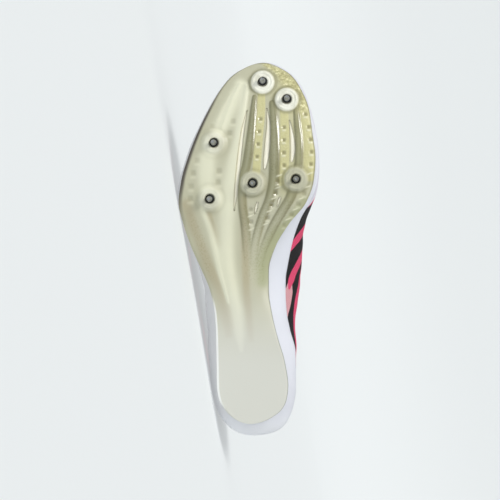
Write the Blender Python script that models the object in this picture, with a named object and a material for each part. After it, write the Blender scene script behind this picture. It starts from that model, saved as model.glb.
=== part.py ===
"""Track spike shoe, a right one, lying on its outer side.

The shoe is modelled standing, in metres: x runs from heel to toe, y to the inner side and z up.
At the end an empty turns it onto its outer side, where the sole's edge and the upper touch the floor,
with the sole facing -Y, the toe pointing to -X and the inner side up.
"""
import math
from collections import namedtuple

import bmesh
import bpy
import numpy as np
from mathutils import Matrix, Vector

# Overall sizes
LENGTH = 0.285
BALL_WIDTH = 0.0994
WAIST_WIDTH = 0.0446
HEEL_WIDTH = 0.0544
TOE_SPRING = 0.0245
HEEL_LIFT = 0.0040
INSTEP_HEIGHT = 0.1030
HEEL_HEIGHT = 0.0910
TOE_HEIGHT = 0.0480

# Thicknesses and gaps
PLATE = 0.0020
HEEL_FOAM = 0.0155
FORE_FOAM = 0.0045
UPPER_WALL = 0.0015
OVERLAY_STEP = 0.0006
TONGUE_THICKNESS = 0.0026
INSOLE_THICKNESS = 0.0030
GAP = 0.0003
SEAT_GAP = 0.0004
TONGUE_GAP = 0.0007

# Spikes and the sockets that they screw into
PIN_LENGTH = 0.0070
PIN_RADIUS = 0.0021
PIN_TIP_RADIUS = 0.0010
SEAT_RADIUS = 0.0032
SEAT_DEPTH = 0.0016
SOCKET_CLEARANCE = 0.0003

# Lace
LACE_WIDTH = 0.0050
LACE_THICKNESS = 0.0010
LACE_LIFT = 0.0015
LACE_OVERLAP = 0.00045
FRONT_BAR_OVERLAP = 0.00027
LACE_END = 0.0030
EYELET_PAIRS = 6

# Tongue and insole
TONGUE_LIP = 0.0170
INSOLE_CLEARANCE = 0.0012
MIDSOLE_LIP = 0.0010

# Faces along and across each piece
PLATE_STATIONS = 44
PLATE_COLUMNS = 22
BED_COLUMNS = 8
UPPER_STATIONS = 38
TONGUE_STATIONS = 14
TONGUE_COLUMNS = 9
TONGUE_LIP_ROWS = 3
INSOLE_STATIONS = 26
INSOLE_COLUMNS = 4
SLOT_STATIONS = 6
LACE_STATIONS = 7
FINE_STEPS = 1201

# Places along the shoe and up its wall, and other shares of a size
THROAT_FRONT = 0.715
THROAT_ROUNDING_SHARE = 0.060
THROAT_STATIONS = (0.0, 0.07, 0.30, 0.62)
STATION_SPACE_SHARE = 0.006
THROAT_CROWN_SHARE = 0.16
EYESTAY_END = 0.400
EYELET_FRONT = 0.672
EYELET_TOP = 0.452
EYELET_ROWS = (0.92, 0.96, 1.0)
TONGUE_FRONT = 0.745
TONGUE_TOP = 0.458
TONGUE_ROWS = (0.83, 0.88, 0.94, 1.0)
TONGUE_TOP_SHARE = 0.69
RIB_END_SHARE = 0.035
RIM_SHARE = 0.07
PIN_LEAN_SHARE = 0.35
PIN_SHANK_SHARE = 0.4
BOSS_FOOT_SHARE = 0.96

SIZES = {
    "heel": HEEL_WIDTH, "waist": WAIST_WIDTH, "ball": BALL_WIDTH,
    "spring": TOE_SPRING, "lift": HEEL_LIFT, "instep": INSTEP_HEIGHT, "counter": HEEL_HEIGHT,
    "toe": TOE_HEIGHT, "heel_foam": HEEL_FOAM, "fore_foam": FORE_FOAM,
}

# Each row gives a share of the length, a named width, and the outer and inner edge as shares of it
OutlineRow = namedtuple("OutlineRow", "share size outer inner")
PLATE_OUTLINE = [OutlineRow(*row) for row in (
    (0.036, "heel", 0.00, 0.00),
    (0.054, "heel", -0.25, 0.31),
    (0.076, "heel", -0.36, 0.448),
    (0.100, "heel", -0.43, 0.508),
    (0.137, "heel", -0.46, 0.532),
    (0.200, "heel", -0.465, 0.485),
    (0.267, "waist", -0.575, 0.465),
    (0.325, "waist", -0.60, 0.373),
    (0.389, "waist", -0.686, 0.312),
    (0.444, "ball", -0.373, 0.140),
    (0.503, "ball", -0.449, 0.187),
    (0.566, "ball", -0.510, 0.294),
    (0.623, "ball", -0.544, 0.426),
    (0.678, "ball", -0.525, 0.483),
    (0.741, "ball", -0.475, 0.498),
    (0.805, "ball", -0.407, 0.475),
    (0.869, "ball", -0.323, 0.449),
    (0.932, "ball", -0.221, 0.376),
    (0.964, "ball", -0.144, 0.312),
    (0.985, "ball", -0.055, 0.225),
    (1.000, "ball", 0.090, 0.090),
)]
FOAM_OUTLINE = [OutlineRow(*row) for row in (
    (0.000, "heel", 0.02, 0.02),
    (0.009, "heel", -0.20, 0.32),
    (0.025, "heel", -0.32, 0.455),
    (0.057, "heel", -0.45, 0.556),
    (0.092, "heel", -0.52, 0.61),
    (0.121, "heel", -0.555, 0.63),
    (0.168, "heel", -0.58, 0.63),
    (0.224, "heel", -0.597, 0.625),
    (0.285, "waist", -0.745, 0.665),
    (0.330, "waist", -0.775, 0.610),
    (0.389, "waist", -0.795, 0.588),
    (0.423, "ball", -0.380, 0.266),
    (0.455, "ball", -0.403, 0.281),
    (0.519, "ball", -0.465, 0.320),
    (0.582, "ball", -0.530, 0.385),
    (0.614, "ball", -0.549, 0.438),
    (0.646, "ball", -0.554, 0.486),
    (0.678, "ball", -0.542, 0.513),
    (0.726, "ball", -0.504, 0.525),
    (0.773, "ball", -0.460, 0.517),
    (0.837, "ball", -0.379, 0.480),
    (0.900, "ball", -0.288, 0.428),
    (0.940, "ball", -0.215, 0.375),
    (0.970, "ball", -0.140, 0.305),
    (0.990, "ball", -0.040, 0.225),
    (1.003, "ball", 0.090, 0.090),
)]

# Underside of the plate: its height over the ball, and how far its outer and inner edges curl up
ProfileRow = namedtuple("ProfileRow", "share size height outer_curl inner_curl")
SOLE_PROFILE = [ProfileRow(*row) for row in (
    (0.00, "lift", 1.00, 0.00, 0.00),
    (0.24, "lift", 1.00, 0.00, 0.00),
    (0.32, "lift", 1.35, 0.25, 0.55),
    (0.42, "lift", 1.65, 0.70, 1.20),
    (0.52, "lift", 1.20, 0.80, 1.10),
    (0.62, "lift", 0.25, 0.60, 0.70),
    (0.68, "lift", 0.00, 0.60, 0.60),
    (0.75, "spring", 0.05, 0.60, 0.60),
    (0.82, "spring", 0.18, 0.60, 0.60),
    (0.90, "spring", 0.47, 0.50, 0.50),
    (0.95, "spring", 0.71, 0.30, 0.30),
    (1.00, "spring", 1.00, 0.00, 0.00),
    (1.02, "spring", 1.12, 0.00, 0.00),
)]

# Thickness of the foam along its outer and inner edge
FoamRow = namedtuple("FoamRow", "share size outer inner")
FOAM_DEPTH = [FoamRow(*row) for row in (
    (0.00, "heel_foam", 1.08, 1.08),
    (0.10, "heel_foam", 1.00, 1.00),
    (0.22, "heel_foam", 0.98, 1.04),
    (0.32, "heel_foam", 0.93, 1.12),
    (0.42, "heel_foam", 0.78, 1.02),
    (0.52, "heel_foam", 0.55, 0.78),
    (0.60, "fore_foam", 1.35, 1.75),
    (0.68, "fore_foam", 1.00, 1.05),
    (0.88, "fore_foam", 0.95, 0.95),
    (1.02, "fore_foam", 0.95, 0.95),
)]

# Upper: where its topline lies (share of the length, shares of the ball width, a named height), how
# far the wall swells past its foot, and the two points that round the wall over towards the topline
UpperRow = namedtuple(
    "UpperRow", "share top_share top_outer top_inner size top_height inset swell_outer swell_inner "
    "swell_up mid_in mid_up high_in high_up")
UPPER_ROWS = [UpperRow(*row) for row in (
    (0.00, 0.030, 0.000, 0.000, "counter", 1.00, 0.030, 0.028, 0.028, 0.34, 0.25, 0.62, 0.72, 0.84),
    (0.03, 0.044, -0.115, 0.125, "counter", 0.995, 0.030, 0.024, 0.024, 0.34, 0.26, 0.62, 0.72, 0.84),
    (0.07, 0.076, -0.190, 0.200, "counter", 0.965, 0.030, 0.022, 0.022, 0.35, 0.28, 0.64, 0.73, 0.85),
    (0.12, 0.122, -0.243, 0.253, "counter", 0.905, 0.028, 0.020, 0.018, 0.36, 0.30, 0.66, 0.74, 0.86),
    (0.20, 0.200, -0.278, 0.285, "counter", 0.835, 0.024, 0.022, 0.018, 0.38, 0.32, 0.68, 0.74, 0.87),
    (0.28, 0.280, -0.285, 0.290, "counter", 0.850, 0.020, 0.032, 0.050, 0.40, 0.32, 0.70, 0.74, 0.88),
    (0.35, 0.348, -0.258, 0.258, "instep", 0.840, 0.018, 0.036, 0.098, 0.40, 0.30, 0.70, 0.72, 0.88),
    (0.41, 0.405, -0.205, 0.195, "instep", 0.945, 0.016, 0.036, 0.120, 0.38, 0.30, 0.69, 0.70, 0.88),
    (0.44, 0.436, -0.168, 0.150, "instep", 1.000, 0.016, 0.032, 0.118, 0.36, 0.30, 0.68, 0.70, 0.88),
    (0.50, 0.498, -0.150, 0.132, "instep", 0.940, 0.015, 0.026, 0.098, 0.32, 0.28, 0.64, 0.68, 0.87),
    (0.57, 0.570, -0.138, 0.128, "instep", 0.845, 0.014, 0.022, 0.058, 0.26, 0.24, 0.58, 0.64, 0.84),
    (0.64, 0.640, -0.126, 0.122, "instep", 0.745, 0.013, 0.018, 0.026, 0.20, 0.22, 0.55, 0.62, 0.87),
    (0.69, 0.690, -0.110, 0.115, "instep", 0.680, 0.012, 0.014, 0.014, 0.20, 0.21, 0.57, 0.61, 0.92),
    (0.76, 0.758, 0.020, 0.020, "toe", 1.240, 0.012, 0.012, 0.012, 0.20, 0.21, 0.62, 0.60, 0.95),
    (0.84, 0.834, 0.052, 0.052, "toe", 1.100, 0.012, 0.012, 0.012, 0.22, 0.19, 0.63, 0.58, 0.96),
    (0.91, 0.897, 0.076, 0.076, "toe", 0.990, 0.012, 0.012, 0.012, 0.24, 0.17, 0.62, 0.56, 0.96),
    (0.96, 0.936, 0.086, 0.086, "toe", 0.925, 0.012, 0.012, 0.012, 0.26, 0.16, 0.60, 0.55, 0.94),
    (1.00, 0.962, 0.090, 0.090, "toe", 0.870, 0.012, 0.012, 0.012, 0.28, 0.16, 0.60, 0.55, 0.88),
)]
# Places up the wall where its rows of faces lie; the pair before the end is the eyestay's step
WALL_ROWS = (0.0, 0.10, 0.24, 0.40, 0.56, 0.70, 0.80, 0.815, 0.91, 1.0)
EYESTAY_ROW = 7

# Bosses: place, foot, crown and height of the moulded form round each spike
BossRow = namedtuple("BossRow", "share across foot crown height")
BOSSES = [BossRow(*row) for row in (
    (0.9456, 0.091, 0.0104, 0.0080, 0.0040),
    (0.8980, 0.278, 0.0104, 0.0080, 0.0040),
    (0.7810, -0.274, 0.0120, 0.0066, 0.0030),
    (0.6326, -0.304, 0.0120, 0.0064, 0.0030),
    (0.6737, 0.023, 0.0108, 0.0078, 0.0038),
    (0.6844, 0.350, 0.0108, 0.0078, 0.0038),
)]
BOSS_BEVEL = 0.0012
BOSS_ROOT = 0.0008
BOSS_SIDES = 16
PIN_SIDES = 8

# Slots through the plate: share of the length, place across, half the width of the slot
SlotRow = namedtuple("SlotRow", "share across half")
SLOTS = [[SlotRow(*row) for row in rows] for rows in (
    ((0.869, -0.023, 0.0004), (0.816, -0.053, 0.0014), (0.736, -0.080, 0.0018), (0.656, -0.103, 0.0015),
     (0.600, -0.118, 0.0005)),
    ((0.875, 0.125, 0.0005), (0.829, 0.141, 0.0016), (0.776, 0.133, 0.0023), (0.736, 0.122, 0.0021),
     (0.710, 0.112, 0.0010)),
    ((0.842, 0.300, 0.0005), (0.802, 0.319, 0.0017), (0.763, 0.327, 0.0022), (0.729, 0.316, 0.0012)),
    ((0.625, 0.060, 0.0007), (0.610, 0.050, 0.0013), (0.592, 0.038, 0.0004)),
    ((0.638, 0.232, 0.0008), (0.628, 0.222, 0.0012), (0.612, 0.208, 0.0004)),
)]

# Ribs of the plate that fan out from the waist: height, half width, and places as in the slots
Rib = namedtuple("Rib", "height half places")
RIBS = (
    Rib(0.0014, 0.0060, ((0.82, -0.105), (0.70, -0.135), (0.60, -0.152), (0.50, -0.165), (0.40, -0.165),
                         (0.32, -0.150), (0.25, -0.120))),
    Rib(0.0011, 0.0050, ((0.86, 0.080), (0.80, 0.065), (0.72, 0.050), (0.62, 0.018), (0.52, 0.000),
                         (0.42, -0.010))),
    Rib(0.0011, 0.0050, ((0.83, 0.245), (0.76, 0.250), (0.70, 0.240), (0.64, 0.190), (0.57, 0.115),
                         (0.48, 0.050))),
    Rib(0.0011, 0.0045, ((0.86, 0.425), (0.78, 0.440), (0.71, 0.440), (0.65, 0.370), (0.58, 0.235),
                         (0.50, 0.100))),
    Rib(0.0012, 0.0100, ((0.80, -0.268), (0.70, -0.292), (0.62, -0.302), (0.54, -0.285), (0.45, -0.240))),
    Rib(0.0009, 0.0040, ((0.92, -0.060), (0.86, -0.130), (0.80, -0.180))),
)

# Section of the foam's side: how far out towards its rim, and how far up
FlareRow = namedtuple("FlareRow", "out up")
MIDSOLE_FLARE = [FlareRow(*row) for row in ((0.45, 0.28), (0.85, 0.62), (1.0, 0.86))]

Edge = namedtuple("Edge", "share x outer inner")


def column(rows, name):
    """One column of a table."""
    return np.array([getattr(row, name) for row in rows])


def sized(rows, name):
    """One column of a table, times the size that each row names."""
    return np.array([getattr(row, name) * SIZES[row.size] for row in rows])


def through(xs, ys, at):
    """Smooth curve through points that never swings past them."""
    xs = np.asarray(xs, float)
    ys = np.asarray(ys, float)
    at = np.asarray(at, float)
    step = np.diff(xs)
    slope = np.diff(ys) / step
    before, after = slope[:-1], slope[1:]
    level = before * after <= 0
    near = 2 * step[1:] + step[:-1]
    far = step[1:] + 2 * step[:-1]
    mean = (near + far) / (near / np.where(level, 1, before) + far / np.where(level, 1, after))
    lean = np.concatenate([slope[:1], np.where(level, 0, mean), slope[-1:]])
    k = np.clip(np.searchsorted(xs, at, side="right") - 1, 0, len(step) - 1)
    t = (at - xs[k]) / step[k]
    rise = ys[k] * (1 + 2 * t) * (1 - t) ** 2 + ys[k + 1] * t * t * (3 - 2 * t)
    turn = lean[k] * t * (1 - t) ** 2 - lean[k + 1] * t * t * (1 - t)
    return rise + step[k] * turn


def outline_at(rows, share):
    """Outer and inner edge of an outline at a place along it, with round ends."""
    first, last = rows[0].share, rows[-1].share
    def angle(value):
        return np.arccos(np.clip(1 - 2 * (value - first) / (last - first), -1, 1)) / math.pi
    knots = angle(column(rows, "share"))
    at = angle(np.asarray(share, float))
    return through(knots, sized(rows, "outer"), at), through(knots, sized(rows, "inner"), at)


def edge_stations(rows, count):
    """Pairs of points on an outline, evenly spaced along its rim, from the heel to the toe."""
    first, last = rows[0].share, rows[-1].share
    fine = np.linspace(0, 1, FINE_STEPS)
    share = first + (last - first) * (1 - np.cos(math.pi * fine)) / 2
    outer, inner = outline_at(rows, share)
    run = np.diff(share) * LENGTH
    steps = np.hypot(run, np.diff(outer)) + np.hypot(run, np.diff(inner))
    travel = np.concatenate([[0], np.cumsum(steps)])
    at = np.interp(np.linspace(0, travel[-1], count + 1), travel, fine)
    share = np.interp(at, fine, share)
    return Edge(share, share * LENGTH, np.interp(at, fine, outer), np.interp(at, fine, inner))


def plate_base(share, across):
    """Height of the plate's underside without its ribs; across runs from -1, outer, to 1, inner."""
    rows = SOLE_PROFILE
    level = through(column(rows, "share"), sized(rows, "height"), share)
    outer = through(column(rows, "share"), column(rows, "outer_curl") * HEEL_LIFT, share)
    inner = through(column(rows, "share"), column(rows, "inner_curl") * HEEL_LIFT, share)
    return level + np.where(across < 0, outer, inner) * np.abs(across) ** 3


def rib_relief(share, y, across):
    """How far the ribs stand proud of the plate's underside."""
    relief = np.zeros_like(share)
    for rib in RIBS:
        places = sorted(rib.places)
        shares = [place[0] for place in places]
        middles = [place[1] * BALL_WIDTH for place in places]
        line = through(shares, middles, np.clip(share, shares[0], shares[-1]))
        inside = np.minimum(share - shares[0], shares[-1] - share) / RIB_END_SHARE
        form = rib.height * np.exp(-((y - line) / rib.half) ** 2) * np.clip(inside + 0.5, 0, 1)
        relief = np.maximum(relief, form)
    rim = np.clip((1 - np.abs(across)) / RIM_SHARE, 0, 1)
    return relief * rim


def new_object(name, vertices, faces, colour, roughness, metallic=0.0):
    """Make an object from points and faces, close its seams and point its faces out."""
    mesh = bpy.data.meshes.new(name)
    mesh.from_pydata([tuple(v) for v in vertices], [], faces)
    form = bmesh.new()
    form.from_mesh(mesh)
    bmesh.ops.remove_doubles(form, verts=form.verts, dist=1e-6)
    bmesh.ops.dissolve_degenerate(form, edges=form.edges, dist=1e-6)
    bmesh.ops.recalc_face_normals(form, faces=form.faces)
    form.to_mesh(mesh)
    form.free()
    obj = bpy.data.objects.new(name, mesh)
    bpy.context.scene.collection.objects.link(obj)
    material = bpy.data.materials.new(name)
    material.use_nodes = True
    shader = material.node_tree.nodes["Principled BSDF"]
    shader.inputs["Base Color"].default_value = (*colour, 1)
    shader.inputs["Roughness"].default_value = roughness
    shader.inputs["Metallic"].default_value = metallic
    mesh.materials.append(material)
    mesh.shade_smooth()
    mesh.set_sharp_from_angle(angle=math.radians(35))
    return obj


def grid_faces(rows, columns, start=0, flip=False):
    """Four-sided faces of a grid of points stored row by row."""
    faces = []
    for i in range(rows - 1):
        for j in range(columns - 1):
            a = start + i * columns + j
            face = (a, a + 1, a + columns + 1, a + columns)
            faces.append(face[::-1] if flip else face)
    return faces


def loop_band(first, second):
    """Faces between two closed loops of point numbers."""
    count = len(first)
    return [(first[k], first[(k + 1) % count], second[(k + 1) % count], second[k]) for k in range(count)]


def rim_numbers(rows, columns, start):
    """Point numbers along the outer edge of a grid and back along its inner edge."""
    outer = [start + i * columns for i in range(rows)]
    inner = [start + i * columns + columns - 1 for i in range(rows)]
    return outer + inner[::-1]


def across_grid(edge, columns):
    """Points across the outline: share of the length, x, y and the place across from -1 to 1."""
    v = np.linspace(0, 1, columns + 1)[None, :]
    y = edge.outer[:, None] * (1 - v) + edge.inner[:, None] * v
    share = np.repeat(edge.share[:, None], columns + 1, axis=1)
    return share, share * LENGTH, y, np.repeat(2 * v - 1, len(edge.share), axis=0)


def points(x, y, z):
    """Flat list of points from three grids."""
    return np.stack([x, y, z], axis=-1).reshape(-1, 3)


def plate_top(share, across):
    """Height of the plate's upper face."""
    return plate_base(share, across) + PLATE


def plate_height(x, y):
    """Height of the plate's underside without ribs, at one place."""
    outer, inner = outline_at(PLATE_OUTLINE, x / LENGTH)
    return float(plate_base(x / LENGTH, np.asarray(2 * (y - outer) / (inner - outer) - 1)))


def place_on_plate(boss):
    """Where a boss stands on the plate's underside, and the direction of its spike."""
    x, y = boss.share * LENGTH, boss.across * BALL_WIDTH
    step = PLATE / 4
    lean = (plate_height(x + step, y) - plate_height(x - step, y)) / (2 * step)
    tilt = (plate_height(x, y + step) - plate_height(x, y - step)) / (2 * step)
    axis = Vector((lean * PIN_LEAN_SHARE, tilt * PIN_LEAN_SHARE, -1)).normalized()
    return Vector((x, y, plate_height(x, y))), axis


def turned(profile, sides, origin, axis):
    """Points and faces of a body turned round an axis, from (radius, height) pairs; ends are flat."""
    across = axis.orthogonal().normalized()
    beside = axis.cross(across)
    body, faces = [], []
    for radius, height in profile:
        for k in range(sides):
            turn = 2 * math.pi * k / sides
            out = across * math.cos(turn) + beside * math.sin(turn)
            body.append(origin + axis * height + out * radius)
    for ring in range(len(profile) - 1):
        low = list(range(ring * sides, (ring + 1) * sides))
        faces += loop_band(low, [k + sides for k in low])
    faces.append(tuple(range(sides))[::-1])
    faces.append(tuple(range((len(profile) - 1) * sides, len(profile) * sides)))
    return body, faces


def joined(bodies):
    """One list of points and faces from several."""
    vertices, faces = [], []
    for body, its_faces in bodies:
        faces += [tuple(k + len(vertices) for k in face) for face in its_faces]
        vertices += [tuple(v) for v in body]
    return vertices, faces


def cutter(name, vertices, faces):
    """A guide form that the build leaves out."""
    obj = new_object(name, vertices, faces, (0.5, 0.5, 0.5), 0.5)
    obj.hide_render = True
    obj.display_type = "WIRE"
    return obj


def combine(obj, other, operation):
    """Add, or cut away, a guide form."""
    step = obj.modifiers.new(other.name, "BOOLEAN")
    step.operation = operation
    step.solver = "EXACT"
    step.object = other


def slot_blade(places):
    """A blade that follows one slot, from below the plate to above it."""
    rows = sorted(places)
    shares = [row.share for row in rows]
    at = np.linspace(shares[0], shares[-1], SLOT_STATIONS)
    middle = through(shares, [row.across * BALL_WIDTH for row in rows], at)
    half = through(shares, [row.half for row in rows], at)
    loop = [(x, y) for x, y in zip(at * LENGTH, middle - half)]
    loop += [(x, y) for x, y in zip(at[::-1] * LENGTH, (middle + half)[::-1])]
    count = len(loop)
    body = [Vector((x, y, z)) for z in (-TOE_SPRING, 2 * TOE_SPRING) for x, y in loop]
    faces = loop_band(list(range(count)), list(range(count, 2 * count)))
    faces += [tuple(range(count))[::-1], tuple(range(count, 2 * count))]
    return body, faces


def boss_profile(boss):
    """Half section of a boss, from inside the plate to its crown."""
    return (
        (boss.foot * BOSS_FOOT_SHARE, -BOSS_ROOT), (boss.foot, 0),
        (boss.crown, boss.height - BOSS_BEVEL / 2), (boss.crown - BOSS_BEVEL, boss.height))


def boss_body(boss):
    """A boss with its foot on the curved plate and its crown square to its spike."""
    body, faces = turned(boss_profile(boss), BOSS_SIDES, *place_on_plate(boss))
    for k, point in enumerate(body[:2 * BOSS_SIDES]):
        root = BOSS_ROOT if k < BOSS_SIDES else 0
        point.z = plate_height(point.x, point.y) + root
    return body, faces


def add_bosses_and_slots(plate):
    """Join the six bosses to the plate, cut their sockets, and cut the slots."""
    forms, sockets = [], []
    for boss in BOSSES:
        forms.append(boss_body(boss))
        radius = SEAT_RADIUS + SOCKET_CLEARANCE
        profile = ((radius, boss.height - SEAT_DEPTH), (radius, boss.height + SEAT_DEPTH))
        sockets.append(turned(profile, BOSS_SIDES, *place_on_plate(boss)))
    combine(plate, cutter("boss_forms", *joined(forms)), "UNION")
    combine(plate, cutter("socket_cutters", *joined(sockets)), "DIFFERENCE")
    combine(plate, cutter("slot_cutters", *joined([slot_blade(rows) for rows in SLOTS])), "DIFFERENCE")


def make_spikes():
    """Six steel pins, each with its round seat in its boss's socket."""
    spikes = []
    for number, boss in enumerate(BOSSES, 1):
        top = boss.height
        profile = (
            (SEAT_RADIUS, top - SEAT_DEPTH + GAP), (SEAT_RADIUS, top),
            (PIN_RADIUS, top + SEAT_RADIUS - PIN_RADIUS), (PIN_RADIUS, top + PIN_SHANK_SHARE * PIN_LENGTH),
            (PIN_TIP_RADIUS, top + PIN_LENGTH))
        body, faces = turned(profile, PIN_SIDES, *place_on_plate(boss))
        spikes.append(new_object(f"spike_{number}", body, faces, (0.55, 0.56, 0.58), 0.3, 1.0))
    return spikes


def make_plate():
    """Sprint plate: outline, toe spring, curled edges and the fan of ribs; slots and bosses follow."""
    edge = edge_stations(PLATE_OUTLINE, PLATE_STATIONS)
    share, x, y, across = across_grid(edge, PLATE_COLUMNS)
    low = points(x, y, plate_base(share, across) - rib_relief(share, y, across))
    share, x, y, across = across_grid(edge, BED_COLUMNS)
    high = points(x, y, plate_top(share, across))
    rows = PLATE_STATIONS + 1
    faces = grid_faces(rows, PLATE_COLUMNS + 1)
    faces += grid_faces(rows, BED_COLUMNS + 1, len(low), flip=True)
    faces += loop_band(rim_numbers(rows, PLATE_COLUMNS + 1, 0), rim_numbers(rows, BED_COLUMNS + 1, len(low)))
    plate = new_object("outsole_plate", np.vstack([low, high]), faces, (0.66, 0.65, 0.48), 0.28)
    add_bosses_and_slots(plate)
    return plate


def foam_tops(share):
    """Height of the foam's top along its outer and inner edge."""
    depths = column(FOAM_DEPTH, "share")
    base = plate_base(share, np.zeros_like(share)) + PLATE + GAP
    outer = through(depths, sized(FOAM_DEPTH, "outer"), share)
    inner = through(depths, sized(FOAM_DEPTH, "inner"), share)
    return base + outer, base + inner


def bed_height(x, y):
    """Height of the foam's top at any place."""
    share = np.asarray(x) / LENGTH
    outer_top, inner_top = foam_tops(share)
    outer, inner = outline_at(FOAM_OUTLINE, share)
    wide = np.maximum(inner - outer, PLATE)
    v = np.clip((y - outer) / wide, 0, 1)
    return outer_top * (1 - v) + inner_top * v


def plan_normals(edge):
    """Outward directions along the outer and inner edge, seen from above."""
    loop_x = np.concatenate([edge.x, edge.x[-2:0:-1]])
    loop_y = np.concatenate([edge.outer, edge.inner[-2:0:-1]])
    run_x = np.roll(loop_x, -1) - np.roll(loop_x, 1)
    run_y = np.roll(loop_y, -1) - np.roll(loop_y, 1)
    size = np.hypot(run_x, run_y)
    normal = np.stack([run_y / size, -run_x / size], axis=-1)
    count = len(edge.x)
    outer = normal[:count]
    inner = np.vstack([normal[:1], normal[count:][::-1], normal[count - 1:count]])
    return outer, inner


def moved_edge(edge, distance):
    """The outline moved inwards by a distance, which may differ from place to place."""
    outer, inner = plan_normals(edge)
    distance = np.broadcast_to(distance, edge.share.shape)
    return (
        np.stack([edge.x, edge.outer], axis=-1) - outer * distance[:, None],
        np.stack([edge.x, edge.inner], axis=-1) - inner * distance[:, None],
    )


def make_midsole():
    """Foam between the plate and the upper, flaring out to its rim round the arch and heel."""
    plate_edge = edge_stations(PLATE_OUTLINE, PLATE_STATIONS)
    rim_edge = edge_stations(FOAM_OUTLINE, PLATE_STATIONS)
    rows = PLATE_STATIONS + 1
    share, x, y, across = across_grid(plate_edge, BED_COLUMNS)
    under = points(x, y, plate_top(share, across) + GAP).reshape(rows, -1, 3)
    foot = np.vstack([under[:, 0], under[::-1, -1]])
    rim_x = np.concatenate([rim_edge.x, rim_edge.x[::-1]])
    rim_y = np.concatenate([rim_edge.outer, rim_edge.inner[::-1]])
    rim = points(rim_x, rim_y, bed_height(rim_x, rim_y))
    layers = []
    for row in MIDSOLE_FLARE:
        layer = foot + (rim - foot) * row.out
        layer[:, 2] = foot[:, 2] + (rim[:, 2] - foot[:, 2]) * row.up
        layers.append(layer)
    lip_outer, lip_inner = moved_edge(rim_edge, MIDSOLE_LIP)
    v = np.linspace(0, 1, BED_COLUMNS + 1)[None, :, None]
    plan = lip_outer[:, None] * (1 - v) + lip_inner[:, None] * v
    bed = points(plan[..., 0], plan[..., 1], bed_height(plan[..., 0], plan[..., 1]))
    vertices = [under.reshape(-1, 3)] + layers + [bed]
    starts = np.cumsum([0] + [len(part) for part in vertices])
    faces = grid_faces(rows, BED_COLUMNS + 1)
    loops = [rim_numbers(rows, BED_COLUMNS + 1, 0)]
    loops += [list(range(start, start + 2 * rows)) for start in starts[1:4]]
    loops += [rim_numbers(rows, BED_COLUMNS + 1, starts[4])]
    for low, high in zip(loops, loops[1:]):
        faces += loop_band(low, high)
    faces += grid_faces(rows, BED_COLUMNS + 1, starts[4], flip=True)
    return new_object("midsole", np.vstack(vertices), faces, (0.86, 0.87, 0.90), 0.6)


def wall_curve(knots, at):
    """Smooth curve through the points of a wall's section, from its foot to the topline."""
    knots = np.asarray(knots)
    reach = np.concatenate([[0], np.cumsum(np.linalg.norm(np.diff(knots, axis=0), axis=1))])
    return np.stack([through(reach, knots[:, axis], np.asarray(at) * reach[-1]) for axis in range(3)], axis=-1)


def throat_opening(share):
    """How far the throat is open at a place, from 0 in front of it to 1 behind its round front end."""
    along = np.clip((THROAT_FRONT - share) / THROAT_ROUNDING_SHARE, 0, 1)
    return np.sqrt(1 - (1 - along) ** 2)


def with_throat_stations(edge):
    """The edge again, with stations set where the throat's round front end needs them."""
    extra = THROAT_FRONT - THROAT_ROUNDING_SHARE * np.array(THROAT_STATIONS)
    near = np.abs(edge.share[:, None] - extra[None, :]).min(axis=1) < STATION_SPACE_SHARE
    share = np.sort(np.concatenate([edge.share[~near], extra]))
    outer, inner = outline_at(FOAM_OUTLINE, share)
    return Edge(share, share * LENGTH, outer, inner)


def upper_value(name, share, size=None):
    """A column of the upper's table at any place along it."""
    values = sized(UPPER_ROWS, name) if size is None else column(UPPER_ROWS, name) * size
    return through(column(UPPER_ROWS, "share"), values, share)


def upper_sections(edge, at):
    """Points of the upper's outside on its sides: side, station along the edge, place up the wall."""
    share = np.clip(edge.share, 0, 1)
    feet = moved_edge(edge, upper_value("inset", share, BALL_WIDTH))
    normals = plan_normals(edge)
    opening = throat_opening(share)
    ridge = (upper_value("top_outer", share, BALL_WIDTH) + upper_value("top_inner", share, BALL_WIDTH)) / 2
    top_x = upper_value("top_share", share, LENGTH)
    top_z = upper_value("top_height", share)
    names = ("swell_up", "mid_in", "mid_up", "high_in", "high_up")
    shape = {name: upper_value(name, share, 1) for name in names}
    sides = []
    for side, foot, normal in (("outer", feet[0], normals[0]), ("inner", feet[1], normals[1])):
        swell = upper_value("swell_" + side, share, BALL_WIDTH)
        top_y = ridge + (upper_value("top_" + side, share, BALL_WIDTH) - ridge) * opening
        foot_z = bed_height(foot[:, 0], foot[:, 1]) + SEAT_GAP
        rows = []
        for i in range(len(share)):
            low = np.array([*foot[i], foot_z[i]])
            top = np.array([top_x[i], top_y[i], top_z[i]])
            wide = low + np.array([*normal[i], 0]) * swell[i]
            mid = wide + (top - wide) * shape["mid_in"][i]
            high = wide + (top - wide) * shape["high_in"][i]
            for knot, up in ((wide, "swell_up"), (mid, "mid_up"), (high, "high_up")):
                knot[2] = low[2] + (top[2] - low[2]) * shape[up][i]
            rows.append(wall_curve([low, wide, mid, high, top], at))
        sides.append(rows)
    return np.array(sides)


def surface_normals(grid):
    """Normals of a grid of points, from the differences to its neighbours."""
    normal = np.cross(np.gradient(grid, axis=0), np.gradient(grid, axis=1))
    size = np.linalg.norm(normal, axis=-1, keepdims=True)
    return normal / np.where(size < 1e-12, 1, size)


def add_wall(obj, thickness, group=""):
    """Give a sheet its wall, inwards from its outer face."""
    wall = obj.modifiers.new("wall", "SOLIDIFY")
    wall.thickness = thickness
    wall.offset = -1
    wall.use_even_offset = True
    wall.vertex_group = group


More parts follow.
